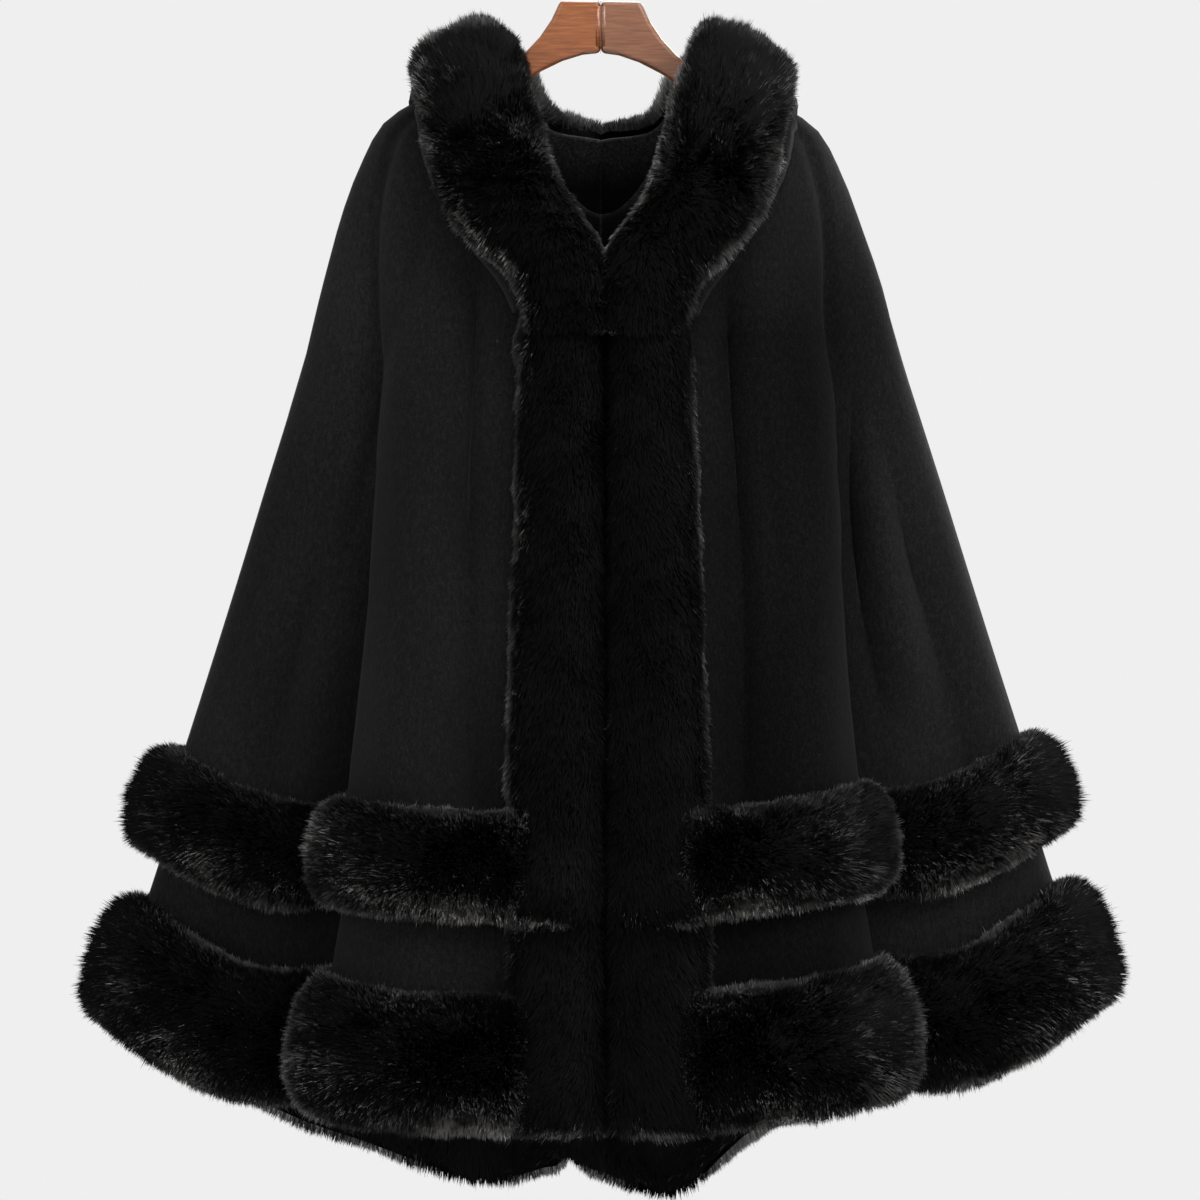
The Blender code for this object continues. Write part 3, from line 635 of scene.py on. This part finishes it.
def hood_roll(side, grid, outward, lean, stand, belly):
    """Sections of the fur on the hood's edge, laid on the outside of its outer wall."""
    picked = grid.shape[1] - 1 - HOOD_FAR_ROWS * np.arange(3, -1, -1)
    base = grid[:, picked] + outward[:, picked] * (CLOTH + HOOD_LAY_GAP)
    sections = np.array([roll_section(base[i], lean[i], stand[i], HOOD_SPREAD) for i in range(len(grid))])
    # over the hood's outer edge where the band reaches it, as fur is wider than the cloth it is sewn to
    across = sections[:, :1] - sections[:, 3:4]
    width = np.linalg.norm(across, axis=2, keepdims=True)
    share = ((sections - sections[:, 3:4]) * across).sum(axis=2, keepdims=True) / width ** 2
    share = np.clip(share, 0, 1)
    hanging = ease(1 - belly / BELLY_FULL * FUR_OVER_BELLY)
    hanging *= 1 - FUR_OVER_UPRIGHT * np.clip(lean[:, 2], 0, 1)
    hanging *= ease((grid[:, -1, 2] - FUR_OVER_FROM_Z) / FUR_OVER_RUN)
    reach = HOOD_FUR_OVER[side] * hanging[:, None, None] * share
    return sections + across / width * (reach - HOOD_FUR_IN * (1 - share))


# Materials

# painted light: the cloth inside the hood is painted lighter, standing in for the light that reaches into
# its hollow, and the cape's back seen below it gets painted shade
PAINTED_LIGHT_INSIDE_HOOD = (0, 0.07, -0.175)
WOOL_SHEEN = 0.025
WOOL_SPECULAR = 0.10
THROAT = (0.004, 0.055, -0.295)
THROAT_SHADE = 0.35
# painted shade and light: the right front is painted darker, as if turned from the light, and the right side
# and the shoulders lighter; how light it is from the middle to the side
PAINTED_LIGHT_AND_SHADE_ACROSS = 0.45
PAINTED_LIGHT_TOP_Z = -0.22
PAINTED_LIGHT_TOP_RUN = 0.14
PAINTED_LIGHT_TOP = 1.2
PAINTED_LIGHT_AND_SHADE = ((0.12, 1.0), (0.24, 0.50), (0.44, 0.50), (0.60, 1.15))


def material(name, slots):
    made = bpy.data.materials.new(name)
    made.use_nodes = True
    tree = made.node_tree
    shader = tree.nodes["Principled BSDF"]
    for key, value in slots.items():
        shader.inputs[key].default_value = value
    return made, tree, shader


def node(tree, kind, inputs=(), **settings):
    made = tree.nodes.new(kind)
    for key, value in settings.items():
        setattr(made, key, value)
    for key, value in dict(inputs).items():
        if isinstance(value, bpy.types.NodeSocket):
            tree.links.new(value, made.inputs[key])
        else:
            made.inputs[key].default_value = value
    return made


def ramp(tree, factor, stops):
    made = node(tree, "ShaderNodeValToRGB", {"Fac": factor})
    elements = made.color_ramp.elements
    while len(elements) < len(stops):
        elements.new(0.5)
    for element, (place, colour) in zip(elements, stops):
        element.position = place
        element.color = (*colour, 1)
    return made.outputs["Color"]


def grey(value):
    return (value, value, value * 1.03)


def noise(tree, vector, scale, detail=2.0, roughness=0.5):
    made = node(tree, "ShaderNodeTexNoise", {"Vector": vector, "Scale": scale, "Detail": detail,
                                             "Roughness": roughness})
    return made.outputs["Fac"]


def object_place(tree):
    return node(tree, "ShaderNodeTexCoord").outputs["Object"]


def scaled(tree, vector, scale, turn=(0, 0, 0)):
    return node(tree, "ShaderNodeMapping", {"Vector": vector, "Rotation": turn, "Scale": scale}).outputs[0]


def calc(tree, operation, *values):
    return node(tree, "ShaderNodeMath", dict(enumerate(values)), operation=operation).outputs[0]


def ranged(tree, value, span, result=(0.0, 1.0)):
    """The value brought from one range to another, and held within it."""
    limits = dict(zip(("From Min", "From Max", "To Min", "To Max"), (*span, *result)))
    return node(tree, "ShaderNodeMapRange", {"Value": value, **limits}).outputs[0]


def distance_from(tree, place, centre):
    return node(tree, "ShaderNodeVectorMath", {0: place, 1: centre}, operation="DISTANCE").outputs["Value"]


def bumped(tree, height, strength, far, more=()):
    slots = {"Height": height, "Strength": strength, "Distance": far, **dict(more)}
    return node(tree, "ShaderNodeBump", slots).outputs["Normal"]


def wool_material():
    """Brushed wool: a fine grain combed down the cloth and the seam at the back of the hood, with painted
    light inside the hood, a painted highlight on the seam, and painted shade and light across the front.
    """
    made, tree, shader = material("brushed_wool", {
        "Roughness": 0.90, "Sheen Roughness": 0.50, "Sheen Tint": (0.8, 0.8, 0.85, 1)})
    place = object_place(tree)
    x, y, z = node(tree, "ShaderNodeSeparateXYZ", {0: place}).outputs
    combed = scaled(tree, place, (1, 1, 0.4))
    fine = noise(tree, place, 900, 3.0, 0.7)
    soft = noise(tree, combed, 420, 4.0, 0.75)
    broad = noise(tree, combed, 9, 1.0)
    mixed = calc(tree, "ADD", calc(tree, "ADD", fine, soft), calc(tree, "MULTIPLY", broad, 0.5))
    share = calc(tree, "DIVIDE", mixed, 2.5)
    colour = ramp(tree, share, [(0.40, grey(0.0011)), (0.50, grey(0.0038)), (0.60, grey(0.0100))])

    # painted light on the cloth seen inside the hood, and a painted highlight along its seam, where the seam
    # also stands out as a real bump
    # painted light: the colour is multiplied up near the inside of the hood
    near = ranged(tree, distance_from(tree, place, PAINTED_LIGHT_INSIDE_HOOD), (0.045, 0.075), (10.0, 0.0))
    near = calc(tree, "MULTIPLY_ADD", near, ranged(tree, y, (0.035, 0.075)), 1.0)
    # painted highlight: this mask makes the colour lighter along the seam, and also drives the seam's real
    # bump further down
    seam = ranged(tree, calc(tree, "ABSOLUTE", x), (0.0006, 0.0016), (1.0, 0.0))
    seam = calc(tree, "MULTIPLY", seam, calc(tree, "GREATER_THAN", y, 0.05))
    seam = calc(tree, "MULTIPLY", seam, calc(tree, "GREATER_THAN", z, -0.50))
    gain = calc(tree, "MULTIPLY_ADD", seam, 4.0, near)

    # lint
    lint = node(tree, "ShaderNodeTexVoronoi", {"Vector": combed, "Scale": 34.0}).outputs["Distance"]
    gain = calc(tree, "ADD", gain, ranged(tree, lint, (0.018, 0.034), (2.0, 0.0)))

    # painted shade and light across the front and at the shoulders, laid on the colour and also on the sheen
    # and the specular
    turned = ramp(tree, calc(tree, "DIVIDE", x, PAINTED_LIGHT_AND_SHADE_ACROSS), [(at, grey(share)) for at, share in PAINTED_LIGHT_AND_SHADE])
    below = ranged(tree, z, (PAINTED_LIGHT_TOP_Z, PAINTED_LIGHT_TOP_Z - PAINTED_LIGHT_TOP_RUN))
    turned = node(tree, "ShaderNodeMix", {"Factor": below, 2: PAINTED_LIGHT_TOP, 3: turned}, data_type="FLOAT")
    turned = turned.outputs[0]
    shaded = ranged(tree, distance_from(tree, place, THROAT), (0.030, 0.070), (THROAT_SHADE, 1.0))
    turned = calc(tree, "MULTIPLY", shaded, turned)
    gain = calc(tree, "MULTIPLY", gain, turned)
    for slot, full in (("Sheen Weight", WOOL_SHEEN), ("Specular IOR Level", WOOL_SPECULAR)):
        tree.links.new(calc(tree, "MULTIPLY", turned, full), shader.inputs[slot])
    lit = node(tree, "ShaderNodeVectorMath", {0: colour, "Scale": gain}, operation="SCALE")
    tree.links.new(lit.outputs[0], shader.inputs["Base Color"])

    normal = bumped(tree, fine, 0.5, 0.0006)
    normal = bumped(tree, soft, 0.4, 0.0014, {"Normal": normal})
    normal = bumped(tree, seam, 0.8, 0.0010, {"Normal": normal})
    tree.links.new(normal, shader.inputs["Normal"])
    return made


def fur_material():
    made, tree, shader = material("long_fur", {
        "Roughness": 0.65, "Specular IOR Level": 0.08, "Sheen Weight": 0.15, "Sheen Roughness": 0.23,
        "Sheen Tint": (0.82, 0.80, 0.78, 1)})
    own, along, _ = node(tree, "ShaderNodeSeparateXYZ",
                         {0: node(tree, "ShaderNodeTexCoord").outputs["UV"]}).outputs
    # painted shade and light: blades darker at the root and lighter at the tip, for shade among the roots
    # and the lit rims of the fur
    along = ramp(tree, along, [(0.0, grey(0.0004)), (0.6, grey(0.0008)), (1.0, grey(0.0020))])
    own = ramp(tree, own, [(0.0, grey(0.65)), (0.75, grey(1.0)), (1.0, grey(1.8))])
    patch = ranged(tree, noise(tree, object_place(tree), 16, 3.0, 0.6), (0.38, 0.66), (0.08, 0.56))
    tree.links.new(patch, shader.inputs["Sheen Weight"])
    mixed = node(tree, "ShaderNodeMix", {"Factor": 1.0, 6: along, 7: own}, data_type="RGBA",
                 blend_type="MULTIPLY")
    tree.links.new(mixed.outputs[2], shader.inputs["Base Color"])
    return made


def core_material():
    made, tree, shader = material("fur_ground", {"Roughness": 0.9, "Specular IOR Level": 0.05})
    grain = noise(tree, object_place(tree), 260, 3.0, 0.7)
    colour = ramp(tree, grain, [(0.35, grey(0.0006)), (0.7, grey(0.0028))])
    tree.links.new(colour, shader.inputs["Base Color"])
    return made


def wood_material(name, side, tones, rough):
    """Varnished wood, its grain along the arm of that side."""
    made, tree, shader = material(name, {"Roughness": rough, "Coat Weight": 0.55, "Coat Roughness": 0.18,
                                         "Specular IOR Level": 0.4})
    turned = scaled(tree, object_place(tree), (1, 6, 14), (0, side * GRAIN_TURN, 0))
    grain = noise(tree, turned, 34, 6.0, 0.62)
    pores = noise(tree, scaled(tree, turned, (1, 3, 5)), 60, 3.0, 0.6)
    mixed = calc(tree, "ADD", grain, calc(tree, "MULTIPLY", pores, 0.35))
    colour = ramp(tree, mixed, [(0.45, tones[0]), (0.66, tones[1]), (0.86, tones[2])])
    tree.links.new(colour, shader.inputs["Base Color"])
    tree.links.new(bumped(tree, mixed, 0.08, 0.0004), shader.inputs["Normal"])
    return made


def steel_material():
    made, tree, shader = material("hook_steel", {"Metallic": 1.0, "Base Color": (0.58, 0.58, 0.60, 1)})
    dull = ranged(tree, noise(tree, object_place(tree), 300, 3.0), (0.0, 1.0), (0.16, 0.32))
    tree.links.new(dull, shader.inputs["Roughness"])
    return made


WOOL = wool_material()
FUR = fur_material()
GROUND = core_material()


# Fur of separate blades

CORE_WIDTH = 0.92
CORE_HEIGHT = 0.66
CLUMP = 0.0062
RUFFLE_SIZE = 0.075
RUFFLE_FROM = 0.45
RUFFLE_STEEP = 1.3
SMOOTH_PULL = 0.40
PULLS = (0.4, 1.2)
FULL_LENGTH = 1.05
SHORTER_BY = 0.24
STRAY_SHARE = 0.12
STRAY_MORE = (0.05, 0.30)
SHADE_LEAN = 0.34
SHADE_ROUGH = 0.06
BLADE_HALF_WIDTHS = (0.00058, 0.00106)
BLADE_ROUGH = 0.0008
BLADE_TURN = 0.004
DRIFTS = ((0.050, 1.0, (1, 2, 3)), (0.016, 0.7, (4, 5, 6)))
LINING_RISE = 0.072
LINING_PILE = 0.008
LINING_SEED = 7
LINED = ("back_left", "back_right")
FurLook = namedtuple("FurLook", "per_m2 flow length pull wild shade")


def surface_of(sections, base_count):
    """The outer face of a strip as a fine grid, and the middle of its base for each column."""
    path = np.concatenate([sections[:, base_count - 1:], sections[:, :1]], axis=1)
    middle = (sections[:, 0] + sections[:, base_count - 1]) / 2
    fine = refined(path, 4, 3)
    centre = refined(np.stack([middle, middle + 1e-3], axis=1), 4, 1)[:, 0]
    return leaned(fine), leaned(centre)


def ground_below(surface, centre):
    """The dark ground of a strip: nearly as wide as its fur, and lower."""
    reach = surface - centre[:, None]
    rows = surface.shape[1]
    up = unit(reach[:, rows // 4:rows - rows // 4].mean(axis=1))[:, None]
    height = (reach * up).sum(axis=2, keepdims=True) * up
    return centre[:, None] + (reach - height) * CORE_WIDTH + height * CORE_HEIGHT


def sample(grid, i, j, a, b):
    a, b = a[:, None], b[:, None]
    return ((grid[i, j] * (1 - a) + grid[i + 1, j] * a) * (1 - b)
            + (grid[i, j + 1] * (1 - a) + grid[i + 1, j + 1] * a) * b)


def lengths(steps):
    return np.concatenate([[0], np.cumsum(steps)])


def blades(surface, ground, look, seed):
    """Blades from the ground to the surface: one narrow triangle each, and its place along and across."""
    rng = np.random.default_rng(seed)
    columns, rows = surface.shape[:2]
    normals = grid_normals(surface)
    if ((surface - ground) * normals).sum() < 0:
        normals = -normals
    area = np.linalg.norm(np.cross(surface[1:, 1:] - surface[:-1, :-1],
                                   surface[:-1, 1:] - surface[1:, :-1]), axis=2) / 2
    count = int(area.sum() * look.per_m2)
    cell = rng.choice(area.size, count, p=(area / area.sum()).ravel())
    i, j = cell // (rows - 1), cell % (rows - 1)
    a, b = rng.random(count), rng.random(count)
    along = lengths(np.linalg.norm(np.diff(surface[:, rows // 2], axis=0), axis=1))
    across = lengths(np.linalg.norm(np.diff(surface, axis=1), axis=2).mean(axis=0))
    s = along[i] + (along[i + 1] - along[i]) * a
    t = across[j] + (across[j + 1] - across[j]) * b

    def tip_at(i, j, a, b):
        outer = sample(surface, i, j, a, b)
        normal = unit(sample(normals, i, j, a, b))
        drift = sum(np.stack([waves(outer, size, seed + k) for k in keys], axis=1) * look.wild * share
                    for size, share, keys in DRIFTS)
        return outer, normal, outer + (look.flow(outer, normal) + drift) * look.length

    root = sample(ground, i, j, a, b)
    outer, normal, tip = tip_at(i, j, a, b)
    clump_s, clump_t = clump_of(s, t, seed)
    clump_s = np.clip(clump_s, 0, along[-1] * 0.9999)
    clump_t = np.clip(clump_t, 0, across[-1] * 0.9999)
    ci = np.clip(np.searchsorted(along, clump_s, side="right") - 1, 0, columns - 2)
    cj = np.clip(np.searchsorted(across, clump_t, side="right") - 1, 0, rows - 2)
    ca = (clump_s - along[ci]) / (along[ci + 1] - along[ci])
    cb = (clump_t - across[cj]) / (across[cj + 1] - across[cj])
    ruffled = ease((waves(outer, RUFFLE_SIZE, seed + 9) - RUFFLE_FROM) * RUFFLE_STEEP)
    pull = look.pull * (SMOOTH_PULL + (1 - SMOOTH_PULL) * ruffled) * rng.uniform(*PULLS, count)
    lean = (tip_at(ci, cj, ca, cb)[2] - tip) * pull[:, None]
    tip = tip + lean + rng.normal(0, BLADE_ROUGH, (count, 3))
    tip = root + (tip - root) * (FULL_LENGTH - SHORTER_BY * rng.random(count) ** 2)[:, None]
    stray = rng.random(count) < STRAY_SHARE
    tip[stray] += (tip - root)[stray] * rng.uniform(*STRAY_MORE, (stray.sum(), 1))
    shade = look.shade(outer, normal) + lean / CLUMP * SHADE_LEAN
    shade = unit(shade + rng.normal(0, SHADE_ROUGH, (count, 3)))
    side = unit(np.cross(tip - root, normal) + rng.normal(0, BLADE_TURN, (count, 3)))
    wide = rng.uniform(*BLADE_HALF_WIDTHS, count)[:, None]
    points = np.stack([root - side * wide, root + side * wide, tip], axis=1).reshape(-1, 3)
    uv = np.stack([np.repeat(rng.random(count), 3), np.tile([0, 0, 1.0], count)], axis=1)
    return points, np.arange(count * 3).reshape(-1, 3), uv, np.repeat(shade, 3, axis=0)


def clump_of(s, t, seed):
    """The middle of the clump that each blade leans to: the nearest of a lattice jittered by a sine hash."""
    own_s, own_t = np.floor(s / CLUMP), np.floor(t / CLUMP)
    best = np.full(len(s), np.inf)
    middle_s, middle_t = s.copy(), t.copy()
    for du in (-1, 0, 1):
        for dv in (-1, 0, 1):
            cu, cv = own_s + du, own_t + dv
            jitter_s = np.modf(np.abs(np.sin(cu * 12.9898 + cv * 78.233 + seed) * 43758.5453))[0]
            jitter_t = np.modf(np.abs(np.sin(cu * 39.3460 + cv * 11.135 + seed) * 24634.6345))[0]
            ps, pt = (cu + jitter_s) * CLUMP, (cv + jitter_t) * CLUMP
            distance = (ps - s) ** 2 + (pt - t) ** 2
            nearer = distance < best
            best[nearer] = distance[nearer]
            middle_s[nearer], middle_t[nearer] = ps[nearer], pt[nearer]
    return middle_s, middle_t


def add_fur(name, sections, base_count, look, seed, lining=None):
    """A dark soft ground and the blades that stand on it, as one piece; lining is more of it inside."""
    surface, centre = surface_of(sections, base_count)
    ground = ground_below(surface, centre)
    points, tips, uv, shade = blades(surface, ground, look, seed)
    if lining is not None:
        pile = blades(*lining, LINING_LOOK, seed + LINING_SEED)
        tips = np.concatenate([tips, pile[1] + len(points)])
        points = np.concatenate([points, pile[0]])
        uv = np.concatenate([uv, pile[2]])
        shade = np.concatenate([shade, pile[3]])

    # the ground, closed at its ends by a fan and below by its own base
    columns, rows = surface.shape[:2]
    ground_points = np.concatenate([ground.reshape(-1, 3), centre[[0, -1]]])
    base = len(points)
    shell = grid_faces(columns, rows) + base
    start = np.arange(columns - 1) * rows
    closing = np.stack([start, start + rows - 1, start + 2 * rows - 1, start + rows], axis=1) + base
    fans = []
    for row, middle in ((0, len(ground_points) - 2), (columns - 1, len(ground_points) - 1)):
        ring = row * rows + np.arange(rows - 1)
        fans.append(np.stack([ring, ring + 1, np.full(rows - 1, middle)], axis=1) + base)
    points = np.concatenate([points, ground_points])
    uv = np.concatenate([uv, np.zeros((len(ground_points), 2))])
    away = unit(ground_points - centre.mean(axis=0))
    away[:columns * rows] = unit(ground - centre[:, None]).reshape(-1, 3)
    shade = np.concatenate([shade, away])
    faces = [tips, shell, closing, *fans]
    which = np.concatenate([np.full(len(f), int(number > 0)) for number, f in enumerate(faces)])
    obj = mesh_object(name + "_hair", points, faces, [FUR, GROUND], which, uv, shade)
    return stands_for(obj, name)


def lining_of(fine, outward, first, last):
    """The inside of a panel's lower edge and the short pile on it."""
    low_row = fine.shape[1] - 1
    rise = np.linalg.norm(fine[first, low_row] - fine[first], axis=1)
    top_row = int(np.searchsorted(-rise, -LINING_RISE))
    face = fine[first:last + 1, top_row:]
    away = outward[first:last + 1, top_row:]
    return leaned(face - away * LINING_PILE), leaned(face + away * CLOTH / 2)


def lining_flow(outer, normal):
    return np.array([0, 0, -1.0])


def plain_shade(outer, normal):
    return normal


def front_shade(outer, normal):
    """The two bands' furs close into one soft face along the meeting line."""
    near = ease(1 - np.abs(outer[:, 0] - MEET_X) / 0.020)[:, None]
    return normal + np.array([0, -2.2, 0]) * near


def hem_flow(outer, normal):
    """Hem fur lies a little down and, at its lower edge, hangs."""
    return np.array([0, 0, -0.22]) + normal * 0.42


def front_flow(outer, normal):
    """The front bands are combed down, and fan out near the hem."""
    fan = ease((-0.78 - outer[:, 2]) / 0.2)
    out = outer[:, 0] - MEET_X
    closing = ease(1 - np.abs(out) / 0.016)
    sideways = np.sign(out) * ((0.20 + 0.35 * fan) * (1 - closing) - 0.30 * closing)
    return np.stack([sideways, 0 * out, np.full(len(out), -0.85)], axis=1)


def hood_flow(outer, normal):
    """The hood's fur stands out, and hangs a little lower down the fronts."""
    hang = ease((-0.12 - outer[:, 2]) / 0.15)[:, None]
    return normal * 0.30 + np.array([0, 0, -0.70]) * hang


HEM_LOOK = FurLook(790000, hem_flow, 0.009, 0.42, 0.14, plain_shade)
BACK_HEM_LOOK = HEM_LOOK._replace(per_m2=620000)
FRONT_LOOK = FurLook(900000, front_flow, 0.009, 0.36, 0.16, front_shade)
HOOD_LOOK = FurLook(880000, hood_flow, 0.011, 0.56, 0.17, plain_shade)
LINING_LOOK = FurLook(520000, lining_flow, 0.007, 0.35, 0.28, plain_shade)


# Camera and lights

PHOTO_SCALE_M = 1.056
CAMERA_FAR = 4.0
SENSOR = 36
BACKDROP = (0.863, 0.863, 0.863, 1)
EYE = (-0.0007, -CAMERA_FAR, -0.591)

camera_data = bpy.data.cameras.new("camera")
camera_data.sensor_width = SENSOR
camera_data.lens = SENSOR * CAMERA_FAR / PHOTO_SCALE_M
camera_data.clip_end = 60
camera = bpy.data.objects.new("camera", camera_data)
camera.location = EYE
camera.rotation_euler = (math.pi / 2, 0, 0)
bpy.context.scene.collection.objects.link(camera)
bpy.context.scene.camera = camera
bpy.context.scene.view_settings.view_transform = "Standard"

world = bpy.data.worlds.new("studio")
world.use_nodes = True
world.node_tree.nodes["Background"].inputs["Color"].default_value = BACKDROP
bpy.context.scene.world = world


Light = namedtuple("Light", "name place aim size watts")
LIGHTS = [
    Light("key", (2.3, -2.2, 1.1), (0, 0, -0.6), 1.4, 66),
    Light("fill", (-2.2, -2.4, 0.4), (0, 0, -0.6), 1.6, 14),
    Light("back", (0.3, 2.2, 1.4), (0, 0, -0.5), 1.6, 50),
    Light("top", (0.5, -0.6, 1.5), (0, 0, -0.4), 1.2, 30),
    Light("rim", (2.2, 1.3, -0.2), (0.35, 0, -0.8), 0.8, 34),
]
for each in LIGHTS:
    lamp = bpy.data.lights.new(each.name, "AREA")
    lamp.shape = "SQUARE"
    lamp.size = each.size
    lamp.energy = each.watts
    stand = bpy.data.objects.new(each.name, lamp)
    stand.location = each.place
    stand.rotation_euler = (Vector(each.aim) - Vector(each.place)).to_track_quat("-Z", "Y").to_euler()
    bpy.context.scene.collection.objects.link(stand)


# The cape

# Base points of a strip's sections, and the seeds of its blades
HEM_BASE = 2
FRONT_BASE = 3
HOOD_BASE = 4
HEM_SEED = 100
FRONT_SEED = 300
HOOD_SEED = 400
SEED_STEP = 10

# Hem strips: tier, stretch of the hem, then how each end closes: "flat" at a seam, "round" at the centre
# back, or "under" the front band of that side
Strip = namedtuple("Strip", "tier span ends")
FLAT = ("flat", 0)
ROUND = ("round", 0)
STRIPS = [
    Strip("over", "front_left", (("under", -1), FLAT)),
    Strip("over", "back", (FLAT, FLAT)),
    Strip("over", "front_right", (FLAT, ("under", 1))),
    Strip("under", "front_left", (("under", -1), FLAT)),
    Strip("under", "back_left", (FLAT, ROUND)),
    Strip("under", "back_right", (ROUND, FLAT)),
    Strip("under", "front_right", (FLAT, ("under", 1))),
]


def spans_of(at, last):
    """The columns that each stretch of the hem runs between."""
    left, right, middle = at["left_side"], at["right_side"], at["centre_back"]
    return {"front_left": (0, left), "back": (left, right), "front_right": (right, last),
            "back_left": (left, middle), "back_right": (middle, right)}


def build():
    """The cloth and fur pieces, by the names of the nodes that they replace."""
    # the cape, first as coarse as the solids for the fur strips, then fine for the cloth
    grid, stand, at = cape_grid(1)
    outward = grid_normals(grid)
    over = over_grid(grid, outward, stand, ROWS.index("over_hem") + 1)
    tiers = {"over": (over, grid_normals(over)), "under": (grid, outward)}
    spans = spans_of(at, len(grid) - 1)

    fine, fine_stand, fine_at = cape_grid(FINE_COLUMNS)
    fine = softened_top(finer_lines(fine))
    fine = creased(fine, grid_normals(fine))
    fine_out = grid_normals(fine)
    over_rows = sum(FINE_SPANS[:ROWS.index("over_hem")]) + 1
    fine_over = over_grid(fine, fine_out, fine_stand, over_rows)
    fine_spans = spans_of(fine_at, len(fine) - 1)

    cloths, furs = {}, {}
    for part in ("front_left", "back", "front_right"):
        for tier, cloth in (("under", fine), ("over", fine_over)):
            name = f"{tier}_{part}"
            cloths[name] = add_wall(name, panel(cloth, *fine_spans[part]))

    for number, (tier, span, ends) in enumerate(STRIPS):
        name = f"{tier}_hem_fur_" + span.replace("front_", "")
        rows = ROWS.index(tier + "_band"), ROWS.index(tier + "_hem")
        sections = hem_roll(*tiers[tier], *rows, stand, *spans[span], ends)
        lining = lining_of(fine, fine_out, *fine_spans[span]) if span in LINED else None
        look = BACK_HEM_LOOK if "back" in span else HEM_LOOK
        furs[name] = add_fur(name, sections, HEM_BASE, look, HEM_SEED + SEED_STEP * number, lining)

    on_over = Laid(fine_over + grid_normals(fine_over) * CLOTH)
    on_under = Laid(fine + fine_out * CLOTH)
    for side, label in ((-1, "left"), (1, "right")):
        name = "front_fur_" + label
        sections = run_on(front_roll(side, on_over, on_under), 0, RUN_ON_FRONT)
        furs[name] = add_fur(name, sections, FRONT_BASE, FRONT_LOOK, FRONT_SEED + SEED_STEP * side)
        name = "hood_" + label
        hood, lean, rise, belly = hood_grid(side, on_over)
        cloths[name] = add_wall(name, hood[::-1] if side < 0 else hood)
        name = "hood_fur_" + label
        sections = hood_roll(side, hood, grid_normals(hood) * side, lean, rise, belly)[::HOOD_COLUMNS]
        sections = run_on(run_on(sections, 0, RUN_ON_THROAT), -1, RUN_ON_SPINE)
        furs[name] = add_fur(name, sections, HOOD_BASE, HOOD_LOOK, HOOD_SEED + SEED_STEP * side)
    return cloths, furs


CLOTHS, FURS = build()

# The record of a cloth piece as it was cut: its widest width, its length and its area when flat, what
# carries it and the furs sewn to it
Cut = namedtuple("Cut", "name width length area rests_on furs")


# Hanger

GRAIN_TURN = 0.49
BRIGHT = ((0.12, 0.030, 0.005), (0.21, 0.058, 0.011), (0.30, 0.092, 0.020))
DULL = ((0.10, 0.034, 0.013), (0.17, 0.062, 0.026), (0.23, 0.092, 0.042))
NODES["hanger_left"].material_slots[0].material = wood_material("bright_wood", 1, BRIGHT, 0.34)
NODES["hanger_right"].material_slots[0].material = wood_material("dull_wood", -1, DULL, 0.40)
NODES["hanger_hook"].material_slots[0].material = steel_material()

# Dark glue in the joint between the halves, and a flat face of wood on each side of it
JOINT_HALF = 0.00012
JOINT_DEPTH = 0.0046
JOINT_LOW_Z = -0.1094
JOINT_TOP_Z = -0.0645
FACE_NEAR_X = 0.00024
FACE_FAR_X = 0.0052
FACE_DEPTH = 0.00496
FACE_LOW_Z = -0.1045
FACE_TOP_Z = -0.0690
BLOCK = np.array([(0, 1, 3, 2), (4, 6, 7, 5), (0, 4, 5, 1), (2, 3, 7, 6), (0, 2, 6, 4), (1, 5, 7, 3)])


def add_block(name, xs, depth, heights, look):
    """A plain block on the hanger."""
    corners = [(x, y, z) for x in xs for y in (-depth, depth) for z in heights]
    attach(mesh_object(name, corners, [BLOCK], [look]), "root")


glue, _, _ = material("joint_glue", {"Base Color": (0.02, 0.008, 0.004, 1), "Roughness": 0.6})
add_block("hanger_joint", (-JOINT_HALF, JOINT_HALF), JOINT_DEPTH, (JOINT_LOW_Z, JOINT_TOP_Z), glue)
for side, half in ((-1, "hanger_left"), (1, "hanger_right")):
    add_block(half + "_joint_face", (side * FACE_NEAR_X, side * FACE_FAR_X), FACE_DEPTH,
              (FACE_LOW_Z, FACE_TOP_Z), NODES[half].material_slots[0].material)


# Floor

FLOOR_HALF = 3
FLOOR_Z = -1.75
floor_mesh = bpy.data.meshes.new("floor")
floor_mesh.from_pydata([(x, y, FLOOR_Z) for x, y in ((-FLOOR_HALF, -FLOOR_HALF), (FLOOR_HALF, -FLOOR_HALF),
                                                     (FLOOR_HALF, FLOOR_HALF), (-FLOOR_HALF, FLOOR_HALF))],
                       [], [(0, 1, 2, 3)])
floor = bpy.data.objects.new("floor", floor_mesh)
looks.objects.link(floor)
floor_look, floor_tree, floor_shader = material("pale_floor", {"Roughness": 0.7})
floor_grain = noise(floor_tree, object_place(floor_tree), 3, 3.0)
floor_tone = ramp(floor_tree, floor_grain, [(0.3, grey(0.76)), (0.7, grey(0.80))])
floor_tree.links.new(floor_tone, floor_shader.inputs["Base Color"])
floor_mesh.materials.append(floor_look)
